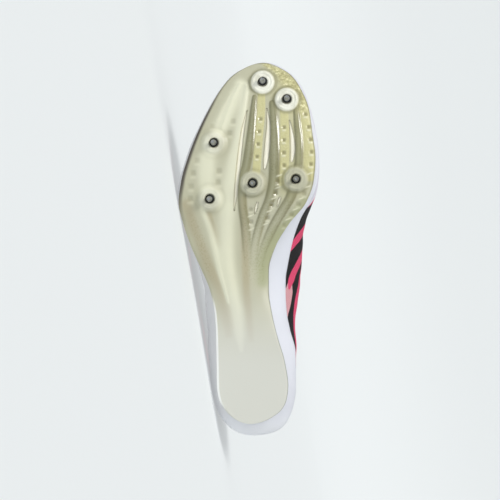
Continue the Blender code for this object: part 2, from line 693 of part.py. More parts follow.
def weigh(obj, group, centre, inside):
    """Weights of a sheet's wall: full on the raised eyestay, less elsewhere."""
    weights = obj.vertex_groups.new(name=group)
    plain = UPPER_WALL / (UPPER_WALL + OVERLAY_STEP)
    for vertex in obj.data.vertices:
        near = min(range(len(centre)), key=lambda k: (vertex.co - centre[k]).length_squared)
        weights.add([vertex.index], 1.0 if inside[near] else plain, "REPLACE")


def make_upper():
    """Hollow upper: a sheet from the foam's rim to the collar, throat and toe ridge, with a wall."""
    edge = with_throat_stations(edge_stations(FOAM_OUTLINE, UPPER_STATIONS))
    sides = upper_sections(edge, WALL_ROWS)
    raised = np.zeros(sides.shape[:3], bool)
    raised[:, :, EYESTAY_ROW:] = ((edge.share > EYESTAY_END) & (edge.share < THROAT_FRONT))[None, :, None]
    for side, facing in ((0, 1), (1, -1)):
        sides[side] += surface_normals(sides[side]) * facing * OVERLAY_STEP * raised[side][..., None]
    rows, columns = len(edge.share), len(WALL_ROWS)
    faces = grid_faces(rows, columns) + grid_faces(rows, columns, rows * columns, flip=True)
    upper = new_object("upper", sides.reshape(-1, 3), faces, (0.03, 0.03, 0.03), 0.75)
    weigh(upper, "wall", [Vector(p) for p in sides.reshape(-1, 3)], raised.reshape(-1))
    add_wall(upper, UPPER_WALL + OVERLAY_STEP, "wall")
    return upper


def throat_bridge(edge, at):
    """Sections from one side's wall over the open throat to the other, with a crown in the middle."""
    left, right = upper_sections(edge, at)[:, 1:-1]
    gap = np.linalg.norm(left[:, -1] - right[:, -1], axis=-1, keepdims=True)
    rise = np.array([0, 0, THROAT_CROWN_SHARE]) * gap
    crown = (left[:, -1] + right[:, -1]) / 2 + rise
    quarters = [(edge_points[:, -1] + crown) / 2 + rise / 4 for edge_points in (left, right)]
    middle = np.stack([quarters[0], crown, quarters[1]], axis=1)
    return np.concatenate([left, middle, right[:, ::-1]], axis=1)


def throat_edge(front, back, count):
    """Stations along the foam's rim between two places, with one more at each end for its direction."""
    step = (front - back) / (count - 1)
    share = np.linspace(back - step, front + step, count + 2)
    outer, inner = outline_at(FOAM_OUTLINE, share)
    return Edge(share, share * LENGTH, outer, inner)


def evenly(rows, count):
    """Each section again, with evenly spaced points."""
    even = []
    for row in rows:
        reach = np.concatenate([[0], np.cumsum(np.linalg.norm(np.diff(row, axis=0), axis=1))])
        at = np.linspace(0, reach[-1], count)
        even.append(np.stack([np.interp(at, reach, row[:, axis]) for axis in range(3)], axis=-1))
    return np.array(even)


def make_tongue():
    """Thin padded tongue under the eyestays, from under the vamp to a lip above the throat."""
    edge = throat_edge(TONGUE_FRONT, TONGUE_TOP, TONGUE_STATIONS)
    rows = evenly(throat_bridge(edge, TONGUE_ROWS), TONGUE_COLUMNS)
    rows = rows - surface_normals(rows) * (UPPER_WALL + TONGUE_GAP)
    narrow = np.linspace(math.sqrt(TONGUE_TOP_SHARE), 1, len(rows))[:, None, None] ** 2
    middle = rows[:, TONGUE_COLUMNS // 2, None]
    rows = middle + (rows - middle) * narrow
    lean = rows[0] - rows[1]
    lean = lean.mean(axis=0) / np.linalg.norm(lean.mean(axis=0))
    step = TONGUE_LIP / TONGUE_LIP_ROWS
    lip = [rows[0] + lean * step * k for k in range(TONGUE_LIP_ROWS, 0, -1)]
    rows = np.concatenate([lip, rows])
    faces = grid_faces(len(rows), rows.shape[1])
    tongue = new_object("tongue", rows.reshape(-1, 3), faces, (0.04, 0.04, 0.04), 0.8)
    if sum(face.normal.z for face in tongue.data.polygons) < 0:
        tongue.data.flip_normals()
    add_wall(tongue, TONGUE_THICKNESS)
    return tongue


def make_insole():
    """Thin insole on the foam, just inside the upper's wall."""
    edge = edge_stations(FOAM_OUTLINE, INSOLE_STATIONS)
    inset = upper_value("inset", np.clip(edge.share, 0, 1), BALL_WIDTH) + UPPER_WALL + INSOLE_CLEARANCE
    outer, inner = moved_edge(edge, inset)
    v = np.linspace(0, 1, INSOLE_COLUMNS + 1)[None, :, None]
    plan = outer[:, None] * (1 - v) + inner[:, None] * v
    height = bed_height(plan[..., 0], plan[..., 1]) + GAP
    low = points(plan[..., 0], plan[..., 1], height)
    high = points(plan[..., 0], plan[..., 1], height + INSOLE_THICKNESS)
    rows = INSOLE_STATIONS + 1
    faces = grid_faces(rows, INSOLE_COLUMNS + 1) + grid_faces(rows, INSOLE_COLUMNS + 1, len(low), flip=True)
    faces += loop_band(
        rim_numbers(rows, INSOLE_COLUMNS + 1, 0), rim_numbers(rows, INSOLE_COLUMNS + 1, len(low)))
    return new_object("insole", np.vstack([low, high]), faces, (0.05, 0.05, 0.05), 0.85)


def ribbon(path, normals, lift):
    """A flat lace along a path on a surface, lifted off it."""
    along = np.gradient(path, axis=0)
    along /= np.linalg.norm(along, axis=-1, keepdims=True)
    path = path.copy()
    path[0] -= along[0] * LACE_END
    path[-1] += along[-1] * LACE_END
    side = np.cross(normals, along)
    side /= np.linalg.norm(side, axis=-1, keepdims=True)
    half = LACE_WIDTH / 2
    low = path + normals * lift
    high = low + normals * LACE_THICKNESS
    corners = np.stack([low - side * half, low + side * half, high + side * half, high - side * half], axis=1)
    count = len(path)
    faces = []
    for i in range(count - 1):
        faces += loop_band([4 * i + k for k in range(4)], [4 * i + 4 + k for k in range(4)])
    faces += [(3, 2, 1, 0), tuple(4 * (count - 1) + k for k in range(4))]
    return corners.reshape(-1, 3), faces


def lace_bars():
    """Bars from each eyelet across the throat: two sets of slanting ones and a straight one in front."""
    edge = throat_edge(EYELET_FRONT, EYELET_TOP, EYELET_PAIRS)
    eyelets = evenly(throat_bridge(edge, EYELET_ROWS), LACE_STATIONS)
    normals = surface_normals(eyelets)

    def bar(first, second, lift):
        share = np.linspace(0, 1, LACE_STATIONS)[:, None]
        path = eyelets[first] * (1 - share) + eyelets[second] * share
        up = normals[first] * (1 - share) + normals[second] * share
        return ribbon(path, up / np.linalg.norm(up, axis=-1, keepdims=True), lift)

    pairs = range(EYELET_PAIRS - 1)
    rising = [bar(k, k + 1, LACE_LIFT) for k in pairs]
    falling = [bar(k + 1, k, LACE_LIFT + LACE_OVERLAP) for k in pairs]
    front = bar(EYELET_PAIRS - 1, EYELET_PAIRS - 1, LACE_LIFT + FRONT_BAR_OVERLAP)
    return rising, falling, front


def make_lace():
    """The lace's crossings over the tongue as one body; its ends stop at the top eyelets."""
    rising, falling, front = lace_bars()
    lace = new_object("lace", *joined(rising), (0.03, 0.03, 0.03), 0.8)
    combine(lace, cutter("falling_bars", *joined(falling)), "UNION")
    combine(lace, cutter("front_bar", *joined([front])), "UNION")
    return lace


def world_points(objects):
    """Corners of the finished pieces, and their common centre of volume."""
    graph = bpy.context.evaluated_depsgraph_get()
    corners, weight, moment = [], 0.0, Vector()
    for obj in objects:
        mesh = obj.evaluated_get(graph).to_mesh()
        mesh.calc_loop_triangles()
        corners += [v.co.copy() for v in mesh.vertices]
        for triangle in mesh.loop_triangles:
            a, b, c = (mesh.vertices[k].co for k in triangle.vertices)
            volume = a.dot(b.cross(c)) / 6
            weight += volume
            moment += (a + b + c) * (volume / 4)
    return corners, moment / weight


def resting_face(corners, centre):
    """Normal of the hull's face on the outer side that carries the centre of volume."""
    form = bmesh.new()
    for corner in corners:
        form.verts.new(corner)
    hull = bmesh.ops.convex_hull(form, input=form.verts)["geom"]
    best, found = None, -1.0
    for face in (item for item in hull if isinstance(item, bmesh.types.BMFace)):
        normal = face.normal.normalized()
        if normal.dot(face.calc_center_median() - centre) < 0:
            normal.negate()
        foot = centre + normal * normal.dot(face.verts[0].co - centre)
        sides = []
        for k, vert in enumerate(face.verts):
            after = face.verts[(k + 1) % len(face.verts)].co
            sides.append(normal.dot((after - vert.co).cross(foot - vert.co)))
        if (min(sides) > 0 or max(sides) < 0) and -normal.y > found:
            best, found = normal.copy(), -normal.y
    form.free()
    return best


def rest_on_side(objects):
    """Turn the shoe onto its outer side, on the face of its hull that it comes to rest on."""
    bpy.context.view_layer.update()
    corners, centre = world_points(objects)
    up = -resting_face(corners, centre)
    back = (Vector((0, 0, 1)) - up * up.z).normalized()
    turn = Matrix((back.cross(up), back, up))
    turned_corners = [turn @ corner for corner in corners]
    low = Vector([min(corner[axis] for corner in turned_corners) for axis in range(3)])
    high = Vector([max(corner[axis] for corner in turned_corners) for axis in range(3)])
    rest = bpy.data.objects.new("rest_on_outer_side", None)
    bpy.context.scene.collection.objects.link(rest)
    move = Vector((-(low.x + high.x) / 2, -(low.y + high.y) / 2, -low.z))
    rest.matrix_world = Matrix.Translation(move) @ turn.to_4x4()
    for obj in bpy.data.objects:
        if obj is not rest:
            obj.parent = rest
    bpy.context.view_layer.update()


def main():
    """Model the shoe standing, then lay it on its outer side."""
    for obj in list(bpy.data.objects):
        bpy.data.objects.remove(obj)
    pieces = [make_plate(), make_midsole(), make_upper(), make_tongue(), make_insole(), make_lace()]
    pieces += make_spikes()
    rest_on_side(pieces)


main()
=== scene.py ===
"""Looks of a track spike shoe, a right one, lying on its outer side with its sole to the camera.

Every piece is worked out in the standing shoe's own frame, in metres: x from heel to toe, y to the
inner side and z up. in_place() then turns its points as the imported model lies.
"""
import math
from collections import namedtuple
from contextlib import contextmanager

import bmesh
import bpy
import numpy as np
from bpy.props import FloatProperty, FloatVectorProperty, IntProperty, PointerProperty
from mathutils import Matrix, Vector


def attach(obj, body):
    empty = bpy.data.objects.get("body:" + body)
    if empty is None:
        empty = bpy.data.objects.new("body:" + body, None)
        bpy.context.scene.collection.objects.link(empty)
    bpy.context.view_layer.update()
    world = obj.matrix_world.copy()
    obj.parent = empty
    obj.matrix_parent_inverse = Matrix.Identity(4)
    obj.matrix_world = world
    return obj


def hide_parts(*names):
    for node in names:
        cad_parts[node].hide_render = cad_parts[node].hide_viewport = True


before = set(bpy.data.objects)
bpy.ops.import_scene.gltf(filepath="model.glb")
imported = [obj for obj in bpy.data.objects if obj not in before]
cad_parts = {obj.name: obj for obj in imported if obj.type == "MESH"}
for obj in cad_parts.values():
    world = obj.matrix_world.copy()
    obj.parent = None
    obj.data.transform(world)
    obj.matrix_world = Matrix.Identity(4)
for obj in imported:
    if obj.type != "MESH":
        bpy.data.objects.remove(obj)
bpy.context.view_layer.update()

bl_info = {
    "name": "Track spike shoe looks",
    "version": (1, 0, 0),
    "blender": (4, 5, 0),
    "location": "View3D > Sidebar > Spike shoe",
    "description": "Makes the visible pieces, finishes, lights and camera of a track spike shoe",
    "category": "Object",
}

# Overall sizes, as in the part's source
LENGTH = 0.285
BALL_WIDTH = 0.0994
WAIST_WIDTH = 0.0446
HEEL_WIDTH = 0.0544
TOE_SPRING = 0.0245
HEEL_LIFT = 0.0040
INSTEP_HEIGHT = 0.1030
HEEL_HEIGHT = 0.0910
TOE_HEIGHT = 0.0480
PLATE = 0.0020
HEEL_FOAM = 0.0155
FORE_FOAM = 0.0045
UPPER_WALL = 0.0015
OVERLAY_STEP = 0.0006
TONGUE_THICKNESS = 0.0026
INSOLE_THICKNESS = 0.0030
GAP = 0.0003
SEAT_GAP = 0.0004
TONGUE_GAP = 0.0007
PIN_LENGTH = 0.0070
PIN_RADIUS = 0.0021
PIN_TIP_RADIUS = 0.0010
PIN_LEAN_SHARE = 0.35
SEAT_RADIUS = 0.0032
SEAT_DEPTH = 0.0016
LACE_WIDTH = 0.0050
LACE_THICKNESS = 0.0010
EYELET_PAIRS = 6
FINE_STEPS = 1201

# How finely the visible pieces are divided
PLATE_STATIONS = 360
PLATE_COLUMNS = 176
PLATE_PACKING = (0.56, 0.97, 2.4)
BACK_COLUMNS = 22
FOAM_STATIONS = 150
FOAM_COLUMNS = 16
FOAM_LAYERS = 10
UPPER_STATIONS = 190
WALL_PLACES = np.concatenate([np.linspace(0, 0.78, 32), np.linspace(0.79, 0.83, 8),
                              np.linspace(0.84, 1, 15)])
TONGUE_STATIONS = 60
TONGUE_COLUMNS = 25
INSOLE_STATIONS = 90
INSOLE_COLUMNS = 12
PIN_SIDES = 40
LACE_STATIONS = 41
LACE_SIDES = 12
BACKDROP_SIDES = 64

# The turn and move that lay the standing shoe on its outer side
LAID = np.array((
    (-0.985048, 0.172279, 0.0),
    (-0.001962, -0.011219, 0.999935),
    (0.172268, 0.984984, 0.011389),
))
LAID_AT = np.array((0.139497, -0.049993, 0.023574))

SIZES = {
    "heel": HEEL_WIDTH, "waist": WAIST_WIDTH, "ball": BALL_WIDTH,
    "spring": TOE_SPRING, "lift": HEEL_LIFT, "instep": INSTEP_HEIGHT, "counter": HEEL_HEIGHT,
    "toe": TOE_HEIGHT, "heel_foam": HEEL_FOAM, "fore_foam": FORE_FOAM,
}

OutlineRow = namedtuple("OutlineRow", "share size outer inner")
PLATE_OUTLINE = [OutlineRow(*row) for row in (
    (0.036, "heel", 0.00, 0.00), (0.054, "heel", -0.25, 0.31), (0.076, "heel", -0.36, 0.448),
    (0.100, "heel", -0.43, 0.508), (0.137, "heel", -0.46, 0.532), (0.200, "heel", -0.465, 0.485),
    (0.267, "waist", -0.575, 0.465), (0.325, "waist", -0.60, 0.373), (0.389, "waist", -0.686, 0.312),
    (0.444, "ball", -0.373, 0.140), (0.503, "ball", -0.449, 0.187), (0.566, "ball", -0.510, 0.294),
    (0.623, "ball", -0.544, 0.426), (0.678, "ball", -0.525, 0.483), (0.741, "ball", -0.475, 0.498),
    (0.805, "ball", -0.407, 0.475), (0.869, "ball", -0.323, 0.449), (0.932, "ball", -0.221, 0.376),
    (0.964, "ball", -0.144, 0.312), (0.985, "ball", -0.055, 0.225), (1.000, "ball", 0.090, 0.090),
)]
FOAM_OUTLINE = [OutlineRow(*row) for row in (
    (0.000, "heel", 0.02, 0.02), (0.009, "heel", -0.20, 0.32), (0.025, "heel", -0.32, 0.455),
    (0.057, "heel", -0.45, 0.556), (0.092, "heel", -0.52, 0.61), (0.121, "heel", -0.555, 0.63),
    (0.168, "heel", -0.58, 0.63), (0.224, "heel", -0.597, 0.625), (0.285, "waist", -0.745, 0.665),
    (0.330, "waist", -0.775, 0.610), (0.389, "waist", -0.795, 0.588), (0.423, "ball", -0.380, 0.266),
    (0.455, "ball", -0.403, 0.281), (0.519, "ball", -0.465, 0.320), (0.582, "ball", -0.530, 0.385),
    (0.614, "ball", -0.549, 0.438), (0.646, "ball", -0.554, 0.486), (0.678, "ball", -0.542, 0.513),
    (0.726, "ball", -0.504, 0.525), (0.773, "ball", -0.460, 0.517), (0.837, "ball", -0.379, 0.480),
    (0.900, "ball", -0.288, 0.428), (0.940, "ball", -0.215, 0.375), (0.970, "ball", -0.140, 0.305),
    (0.990, "ball", -0.040, 0.225), (1.003, "ball", 0.090, 0.090),
)]
ProfileRow = namedtuple("ProfileRow", "share size height outer_curl inner_curl")
SOLE_PROFILE = [ProfileRow(*row) for row in (
    (0.00, "lift", 1.00, 0.00, 0.00), (0.24, "lift", 1.00, 0.00, 0.00), (0.32, "lift", 1.35, 0.25, 0.55),
    (0.42, "lift", 1.65, 0.70, 1.20), (0.52, "lift", 1.20, 0.80, 1.10), (0.62, "lift", 0.25, 0.60, 0.70),
    (0.68, "lift", 0.00, 0.60, 0.60), (0.75, "spring", 0.05, 0.60, 0.60), (0.82, "spring", 0.18, 0.60, 0.60),
    (0.90, "spring", 0.47, 0.50, 0.50), (0.95, "spring", 0.71, 0.30, 0.30),
    (1.00, "spring", 1.00, 0.00, 0.00), (1.02, "spring", 1.12, 0.00, 0.00),
)]
FoamRow = namedtuple("FoamRow", "share size outer inner")
FOAM_DEPTH = [FoamRow(*row) for row in (
    (0.00, "heel_foam", 1.08, 1.08), (0.10, "heel_foam", 1.00, 1.00), (0.22, "heel_foam", 0.98, 1.04),
    (0.32, "heel_foam", 0.93, 1.12), (0.42, "heel_foam", 0.78, 1.02), (0.52, "heel_foam", 0.55, 0.78),
    (0.60, "fore_foam", 1.35, 1.75), (0.68, "fore_foam", 1.00, 1.05), (0.88, "fore_foam", 0.95, 0.95),
    (1.02, "fore_foam", 0.95, 0.95),
)]
MIDSOLE_FLARE = ((0.45, 0.28), (0.85, 0.62), (1.0, 0.86))
MIDSOLE_LIP = 0.0010

UpperRow = namedtuple(
    "UpperRow", "share top_share top_outer top_inner size top_height inset swell_outer swell_inner "
    "swell_up mid_in mid_up high_in high_up")
UPPER_ROWS = [UpperRow(*row) for row in (
    (0.00, 0.030, 0.000, 0.000, "counter", 1.00, 0.030, 0.028, 0.028, 0.34, 0.25, 0.62, 0.72, 0.84),
    (0.03, 0.044, -0.115, 0.125, "counter", 0.995, 0.030, 0.024, 0.024, 0.34, 0.26, 0.62, 0.72, 0.84),
    (0.07, 0.076, -0.190, 0.200, "counter", 0.965, 0.030, 0.022, 0.022, 0.35, 0.28, 0.64, 0.73, 0.85),
    (0.12, 0.122, -0.243, 0.253, "counter", 0.905, 0.028, 0.020, 0.018, 0.36, 0.30, 0.66, 0.74, 0.86),
    (0.20, 0.200, -0.278, 0.285, "counter", 0.835, 0.024, 0.022, 0.018, 0.38, 0.32, 0.68, 0.74, 0.87),
    (0.28, 0.280, -0.285, 0.290, "counter", 0.850, 0.020, 0.032, 0.050, 0.40, 0.32, 0.70, 0.74, 0.88),
    (0.35, 0.348, -0.258, 0.258, "instep", 0.840, 0.018, 0.036, 0.098, 0.40, 0.30, 0.70, 0.72, 0.88),
    (0.41, 0.405, -0.205, 0.195, "instep", 0.945, 0.016, 0.036, 0.120, 0.38, 0.30, 0.69, 0.70, 0.88),
    (0.44, 0.436, -0.168, 0.150, "instep", 1.000, 0.016, 0.032, 0.118, 0.36, 0.30, 0.68, 0.70, 0.88),
    (0.50, 0.498, -0.150, 0.132, "instep", 0.940, 0.015, 0.026, 0.098, 0.32, 0.28, 0.64, 0.68, 0.87),
    (0.57, 0.570, -0.138, 0.128, "instep", 0.845, 0.014, 0.022, 0.058, 0.26, 0.24, 0.58, 0.64, 0.84),
    (0.64, 0.640, -0.126, 0.122, "instep", 0.745, 0.013, 0.018, 0.026, 0.20, 0.22, 0.55, 0.62, 0.87),
    (0.69, 0.690, -0.110, 0.115, "instep", 0.680, 0.012, 0.014, 0.014, 0.20, 0.21, 0.57, 0.61, 0.92),
    (0.76, 0.758, 0.020, 0.020, "toe", 1.240, 0.012, 0.012, 0.012, 0.20, 0.21, 0.62, 0.60, 0.95),
    (0.84, 0.834, 0.052, 0.052, "toe", 1.100, 0.012, 0.012, 0.012, 0.22, 0.19, 0.63, 0.58, 0.96),
    (0.91, 0.897, 0.076, 0.076, "toe", 0.990, 0.012, 0.012, 0.012, 0.24, 0.17, 0.62, 0.56, 0.96),
    (0.96, 0.936, 0.086, 0.086, "toe", 0.925, 0.012, 0.012, 0.012, 0.26, 0.16, 0.60, 0.55, 0.94),
    (1.00, 0.962, 0.090, 0.090, "toe", 0.870, 0.012, 0.012, 0.012, 0.28, 0.16, 0.60, 0.55, 0.88),
)]
THROAT_FRONT = 0.715
THROAT_ROUNDING = 0.060
EYESTAY_END = 0.400
EYESTAY_LINE = 0.8075

TONGUE_ROWS = (0.83, 0.88, 0.94, 1.0)
TONGUE_FRONT = 0.745
TONGUE_TOP = 0.458
TONGUE_LIP = 0.0170
TONGUE_TOP_WIDTH = 0.83
THROAT_CROWN = 0.16
INSOLE_CLEARANCE = 0.0012
EYELET_FRONT = 0.672
EYELET_TOP = 0.452
EYELET_ROW = 0.92
LACE_LIFT = 0.0015
LACE_OVERLAP = 0.00045

# The last column is the share of painted shade round a boss's foot.
BossRow = namedtuple("BossRow", "share across foot crown height white skirt")
BOSSES = [BossRow(*row) for row in (
    (0.9456, 0.091, 0.0108, 0.0082, 0.0040, 0.90, 1.0),
    (0.8980, 0.278, 0.0108, 0.0082, 0.0040, 0.90, 1.0),
    (0.7810, -0.274, 0.0125, 0.0060, 0.0030, 0.30, 0.15),
    (0.6326, -0.304, 0.0125, 0.0060, 0.0030, 0.30, 0.15),
    (0.6737, 0.023, 0.0112, 0.0078, 0.0038, 0.16, 0.7),
    (0.6844, 0.350, 0.0112, 0.0078, 0.0038, 0.10, 0.9),
)]
SlotRow = namedtuple("SlotRow", "share across half")
SLOTS = [[SlotRow(*row) for row in rows] for rows in (
    ((0.869, -0.023, 0.0004), (0.816, -0.053, 0.0014), (0.736, -0.080, 0.0018), (0.656, -0.103, 0.0015),
     (0.600, -0.118, 0.0005)),
    ((0.875, 0.125, 0.0005), (0.829, 0.141, 0.0016), (0.776, 0.133, 0.0023), (0.736, 0.122, 0.0021),
     (0.710, 0.112, 0.0010)),
    ((0.842, 0.300, 0.0005), (0.802, 0.319, 0.0017), (0.763, 0.327, 0.0022), (0.729, 0.316, 0.0012)),
    ((0.625, 0.060, 0.0007), (0.610, 0.050, 0.0013), (0.592, 0.038, 0.0004)),
    ((0.638, 0.232, 0.0008), (0.628, 0.222, 0.0012), (0.612, 0.208, 0.0004)),
)]

# Strokes moulded into the sole, in millimetres: place along, place over to the inner side, half width
Stroke = namedtuple("Stroke", "along over half")


def stroke(*rows):
    """One stroke from its rows, heel end first."""
    return sorted(Stroke(*row) for row in rows)


FLUTES = (
    stroke((258, 3.0, 1.8), (247, 2.2, 2.6), (232, 1.0, 3.2), (217, -0.6, 3.7), (205, -2.6, 3.8),
           (192, -6.0, 3.4), (177, -5.6, 3.4), (161, -3.6, 3.6), (146, -2.6, 3.6), (131, -1.6, 3.0)),
    stroke((253, 16.7, 2.6), (240, 18.0, 3.4), (222, 18.7, 4.0), (207, 18.7, 4.4), (196, 18.4, 4.4),
           (182, 15.7, 4.2), (170, 10.8, 3.9), (157, 6.4, 3.6), (145, 3.6, 3.2), (131, 2.6, 2.6)),
    stroke((247, 34.9, 2.4), (236, 35.9, 3.0), (222, 37.2, 3.3), (209, 36.9, 3.4), (196, 34.4, 3.4),
           (183, 31.3, 4.3), (173, 25.6, 4.5), (162, 19.0, 4.3), (151, 13.6, 3.8), (139, 9.0, 3.2),
           (127, 6.4, 2.4)),
)
SPINE = stroke((267, -3.1, 2.2), (244, -6.1, 3.0), (222, -9.6, 4.2), (202, -13.6, 5.4), (171, -17.2, 6.4),
               (141, -18.0, 6.2), (110, -13.6, 5.4), (92, -9.8, 5.0), (80, -8.3, 4.0), (66, -6.6, 1.6))
LATERAL = (
    stroke((268, -8.6, 1.8), (258, -13.2, 2.4), (247, -17.2, 2.8), (234, -21.3, 2.2)),
    stroke((260, -15.8, 1.5), (250, -21.3, 2.0), (240, -25.3, 1.8)),
    stroke((225, -29.0, 9.0), (203, -31.5, 9.5), (180, -31.0, 9.0)),
    stroke((172, -36.0, 3.2), (158, -31.0, 3.4), (143, -27.0, 3.3), (128, -23.3, 2.8), (114, -19.6, 2.0),
           (102, -16.6, 0.9)),
    stroke((165, -28.0, 2.4), (150, -24.5, 2.4), (138, -22.3, 1.8), (126, -20.0, 0.8)),
)
LATERAL_HEIGHTS = (0.0009, 0.0007, 0.0012, 0.0009, 0.0006)
STRIPS = (
    stroke((261, 8.2, 2.6), (247, 8.1, 3.1), (232, 7.1, 3.1), (217, 6.0, 3.1), (200, 5.0, 3.0)),
    stroke((250, 25.4, 2.7), (232, 26.0, 3.1), (217, 26.0, 3.3), (203, 25.4, 3.3), (193, 23.4, 2.6)),
    stroke((256, 38.6, 3.2), (244, 42.0, 4.0), (232, 44.3, 4.3), (217, 45.6, 4.4), (198, 45.6, 4.4)),
)
WASHED = stroke((258, 26.0, 15.0), (236, 36.0, 12.0), (214, 36.0, 14.0), (192, 30.0, 15.0))
GILT = stroke((283, 12.0, 4.0), (278, 22.0, 7.0), (270, 29.0, 9.0), (260, 35.0, 8.0), (250, 39.0, 6.0))
# Painted highlight: pale strokes of sheen on the outer forefoot.
PAINTED_SHEEN = (
    stroke((268, -8.0, 5.0), (252, -15.0, 7.0), (238, -21.0, 7.5), (226, -26.0, 5.0)),
    stroke((222, -31.0, 7.0), (206, -33.0, 8.0), (188, -33.0, 7.0)),
)
TAN = (
    stroke((176, -48.0, 5.0), (160, -43.0, 5.0), (144, -37.0, 5.0), (126, -30.0, 6.0), (110, -21.8, 7.0),
           (94, -18.5, 6.0), (78, -16.0, 3.5)),
    stroke((168, -31.0, 3.0), (152, -26.5, 4.0), (136, -23.0, 4.0), (118, -19.5, 4.5), (100, -16.5, 4.0),
           (84, -13.5, 3.0)),
    stroke((180, -5.3, 3.4), (146, -3.8, 3.6), (112, -3.0, 3.4), (92, -1.0, 3.4), (74, 0.8, 2.6)),
)
MOSS = stroke((178, 42.0, 5.0), (165, 32.0, 8.0), (150, 20.0, 10.0), (134, 13.0, 9.0), (118, 10.0, 6.0))
# Small pits pressed into the strips and the outer side: half size in millimetres and share of the depth
Pit = namedtuple("Pit", "along over half deep")
PITS = [Pit(*row) for row in (
    (240.8, 7.8, 1.5, 1.0), (231.2, 6.9, 1.5, 1.0), (221.6, 6.1, 1.5, 1.0), (212.0, 5.4, 1.5, 1.0),
    (234.3, 25.6, 1.5, 1.0), (224.6, 25.6, 1.5, 1.0), (215.0, 25.6, 1.6, 1.0), (205.4, 25.8, 1.6, 1.0),
    (244.4, 41.7, 1.5, 1.0), (234.7, 44.3, 1.6, 1.0), (225.2, 45.6, 1.6, 1.0), (215.7, 46.4, 1.6, 1.0),
    (206.4, 46.1, 1.6, 1.0), (239.3, -13.2, 2.2, 0.35), (230.2, -15.7, 2.2, 0.35),
    (235.6, -28.9, 2.0, 0.25), (209.5, -40.0, 2.4, 0.30), (199.8, -43.0, 2.4, 0.35),
    (189.9, -44.8, 2.4, 0.35), (180.6, -45.4, 2.4, 0.35), (201.4, -23.3, 2.4, 0.40),
    (192.8, -24.1, 2.4, 0.40), (193.4, 21.0, 1.9, 0.6), (184.8, 19.4, 1.9, 0.6), (175.8, 16.4, 1.9, 0.6),
    (166.2, 13.2, 1.9, 0.6), (163.0, 0.8, 1.8, 0.5), (184.4, 40.8, 1.9, 0.5), (176.5, 36.4, 1.9, 0.5),
    (168.6, 31.2, 1.9, 0.5), (160.8, 25.6, 1.8, 0.4), (172.4, 0.6, 1.7, 0.5),
)]
# Short ribs between the flutes, behind the spikes; the plate's colour paints them with a highlight
TICKS = (
    (197.8, 22.2), (188.7, 21.2), (180.6, 18.2), (171.0, 14.7), (161.4, 12.1), (180.6, 38.9),
    (172.5, 34.4), (165.0, 28.8), (167.4, 0.5), (157.3, 1.0), (199.4, 45.5), (189.4, 43.8),
)
TICK_HALF = 0.0021
TICK_WIDTH = 0.0006

# Streaks of the upper on its inner and outer side: place along, place up the wall and half height in mm
INNER_HOT = (
    stroke((136, -4, 1.0), (143, 2, 5.0), (150, 10, 5.8), (157, 18, 6.6), (164, 25, 5.0), (172, 29, 2.4),
           (182, 31, 0.6)),
    stroke((113, 9, 2.0), (119, 12, 4.6), (129, 18, 4.8), (140, 28, 6.0), (149, 37, 4.4), (156, 46, 2.0),
           (160, 54, 0.6)),
    stroke((36, 15, 0.6), (52, 18, 3.4), (75, 19.5, 4.8), (95, 21, 5.0), (112, 26, 4.2), (126, 31, 3.2),
           (140, 33, 3.0), (148, 36, 0.6)),
    stroke((60, 52, 0.5), (76, 54, 2.6), (100, 50, 2.6), (118, 46, 0.5)),
    stroke((174, 6, 0.6), (182, 13, 4.4), (192, 20, 3.4), (204, 25, 0.6)),
    stroke((212, 1, 0.6), (219, 6, 3.0), (228, 9, 0.6)),
    stroke((200, 33, 0.5), (214, 35, 2.2), (228, 39, 0.5)),
    stroke((238, 13, 0.5), (247, 16, 3.2), (259, 26, 0.5)),
    stroke((112, 62, 0.5), (126, 61, 2.4), (140, 66, 0.5)),
    stroke((14, 20, 0.5), (22, 30, 2.6), (27, 42, 0.5)),
)
INNER_PALE = (
    stroke((82, -3, 2.0), (91, 0, 5.4), (100, 4, 7.0), (108, 7, 6.6), (114, 9, 4.0), (120, 11, 1.6)),
    stroke((196, 12, 0.5), (206, 14, 3.2), (220, 18, 3.0), (234, 26, 0.5)),
    stroke((158, 44, 0.5), (168, 48, 3.0), (184, 50, 0.5)),
    stroke((30, 36, 0.5), (46, 40, 3.2), (66, 39, 3.0), (90, 38, 0.5)),
    stroke((172, 26, 0.5), (180, 32, 2.2), (190, 42, 0.5)),
)
OUTER_HOT = (
    stroke((122, -2, 1.5), (131, 8, 5.4), (141, 22, 5.0), (149, 36, 0.6)),
    stroke((152, 12, 0.6), (163, 18, 3.8), (180, 22, 3.0), (196, 31, 0.6)),
    stroke((44, 12, 0.6), (58, 18, 4.0), (78, 20, 4.4), (96, 27, 0.6)),
    stroke((164, -2, 0.6), (172, 3, 4.0), (182, 6, 0.6)),
    stroke((206, 16, 0.5), (219, 19, 3.4), (236, 30, 0.5)),
    stroke((126, 48, 0.5), (140, 50, 2.4), (158, 58, 0.5)),
    stroke((242, 4, 0.5), (251, 9, 3.0), (258, 18, 0.5)),
)
OUTER_PALE = (
    stroke((84, -3, 4.0), (91, 4, 7.0), (101, 18, 6.0), (110, 32, 3.4), (117, 42, 0.6)),
    stroke((190, 1, 0.5), (200, 6, 3.4), (216, 8, 0.5)),
    stroke((62, 38, 0.5), (74, 42, 2.6), (88, 50, 0.5)),
    stroke((14, 26, 0.5), (24, 30, 3.0), (36, 40, 0.5)),
    stroke((172, 36, 0.5), (186, 40, 2.4), (204, 42, 0.5)),
)

# Upper edge of the pale film at the upper's foot, outer and inner side: place along and place up in mm
GuardRow = namedtuple("GuardRow", "along up")
GUARD = [[GuardRow(*row) for row in rows] for rows in (
    ((0, -3.0), (250, -3.0), (262, -1.0), (274, 8.0), (290, 8.5)),
    ((0, -3.0), (160, -3.0), (168, -1.0), (177, 8.0), (187, 15.0), (205, 15.0), (224, 9.5), (290, 8.5)),
)]


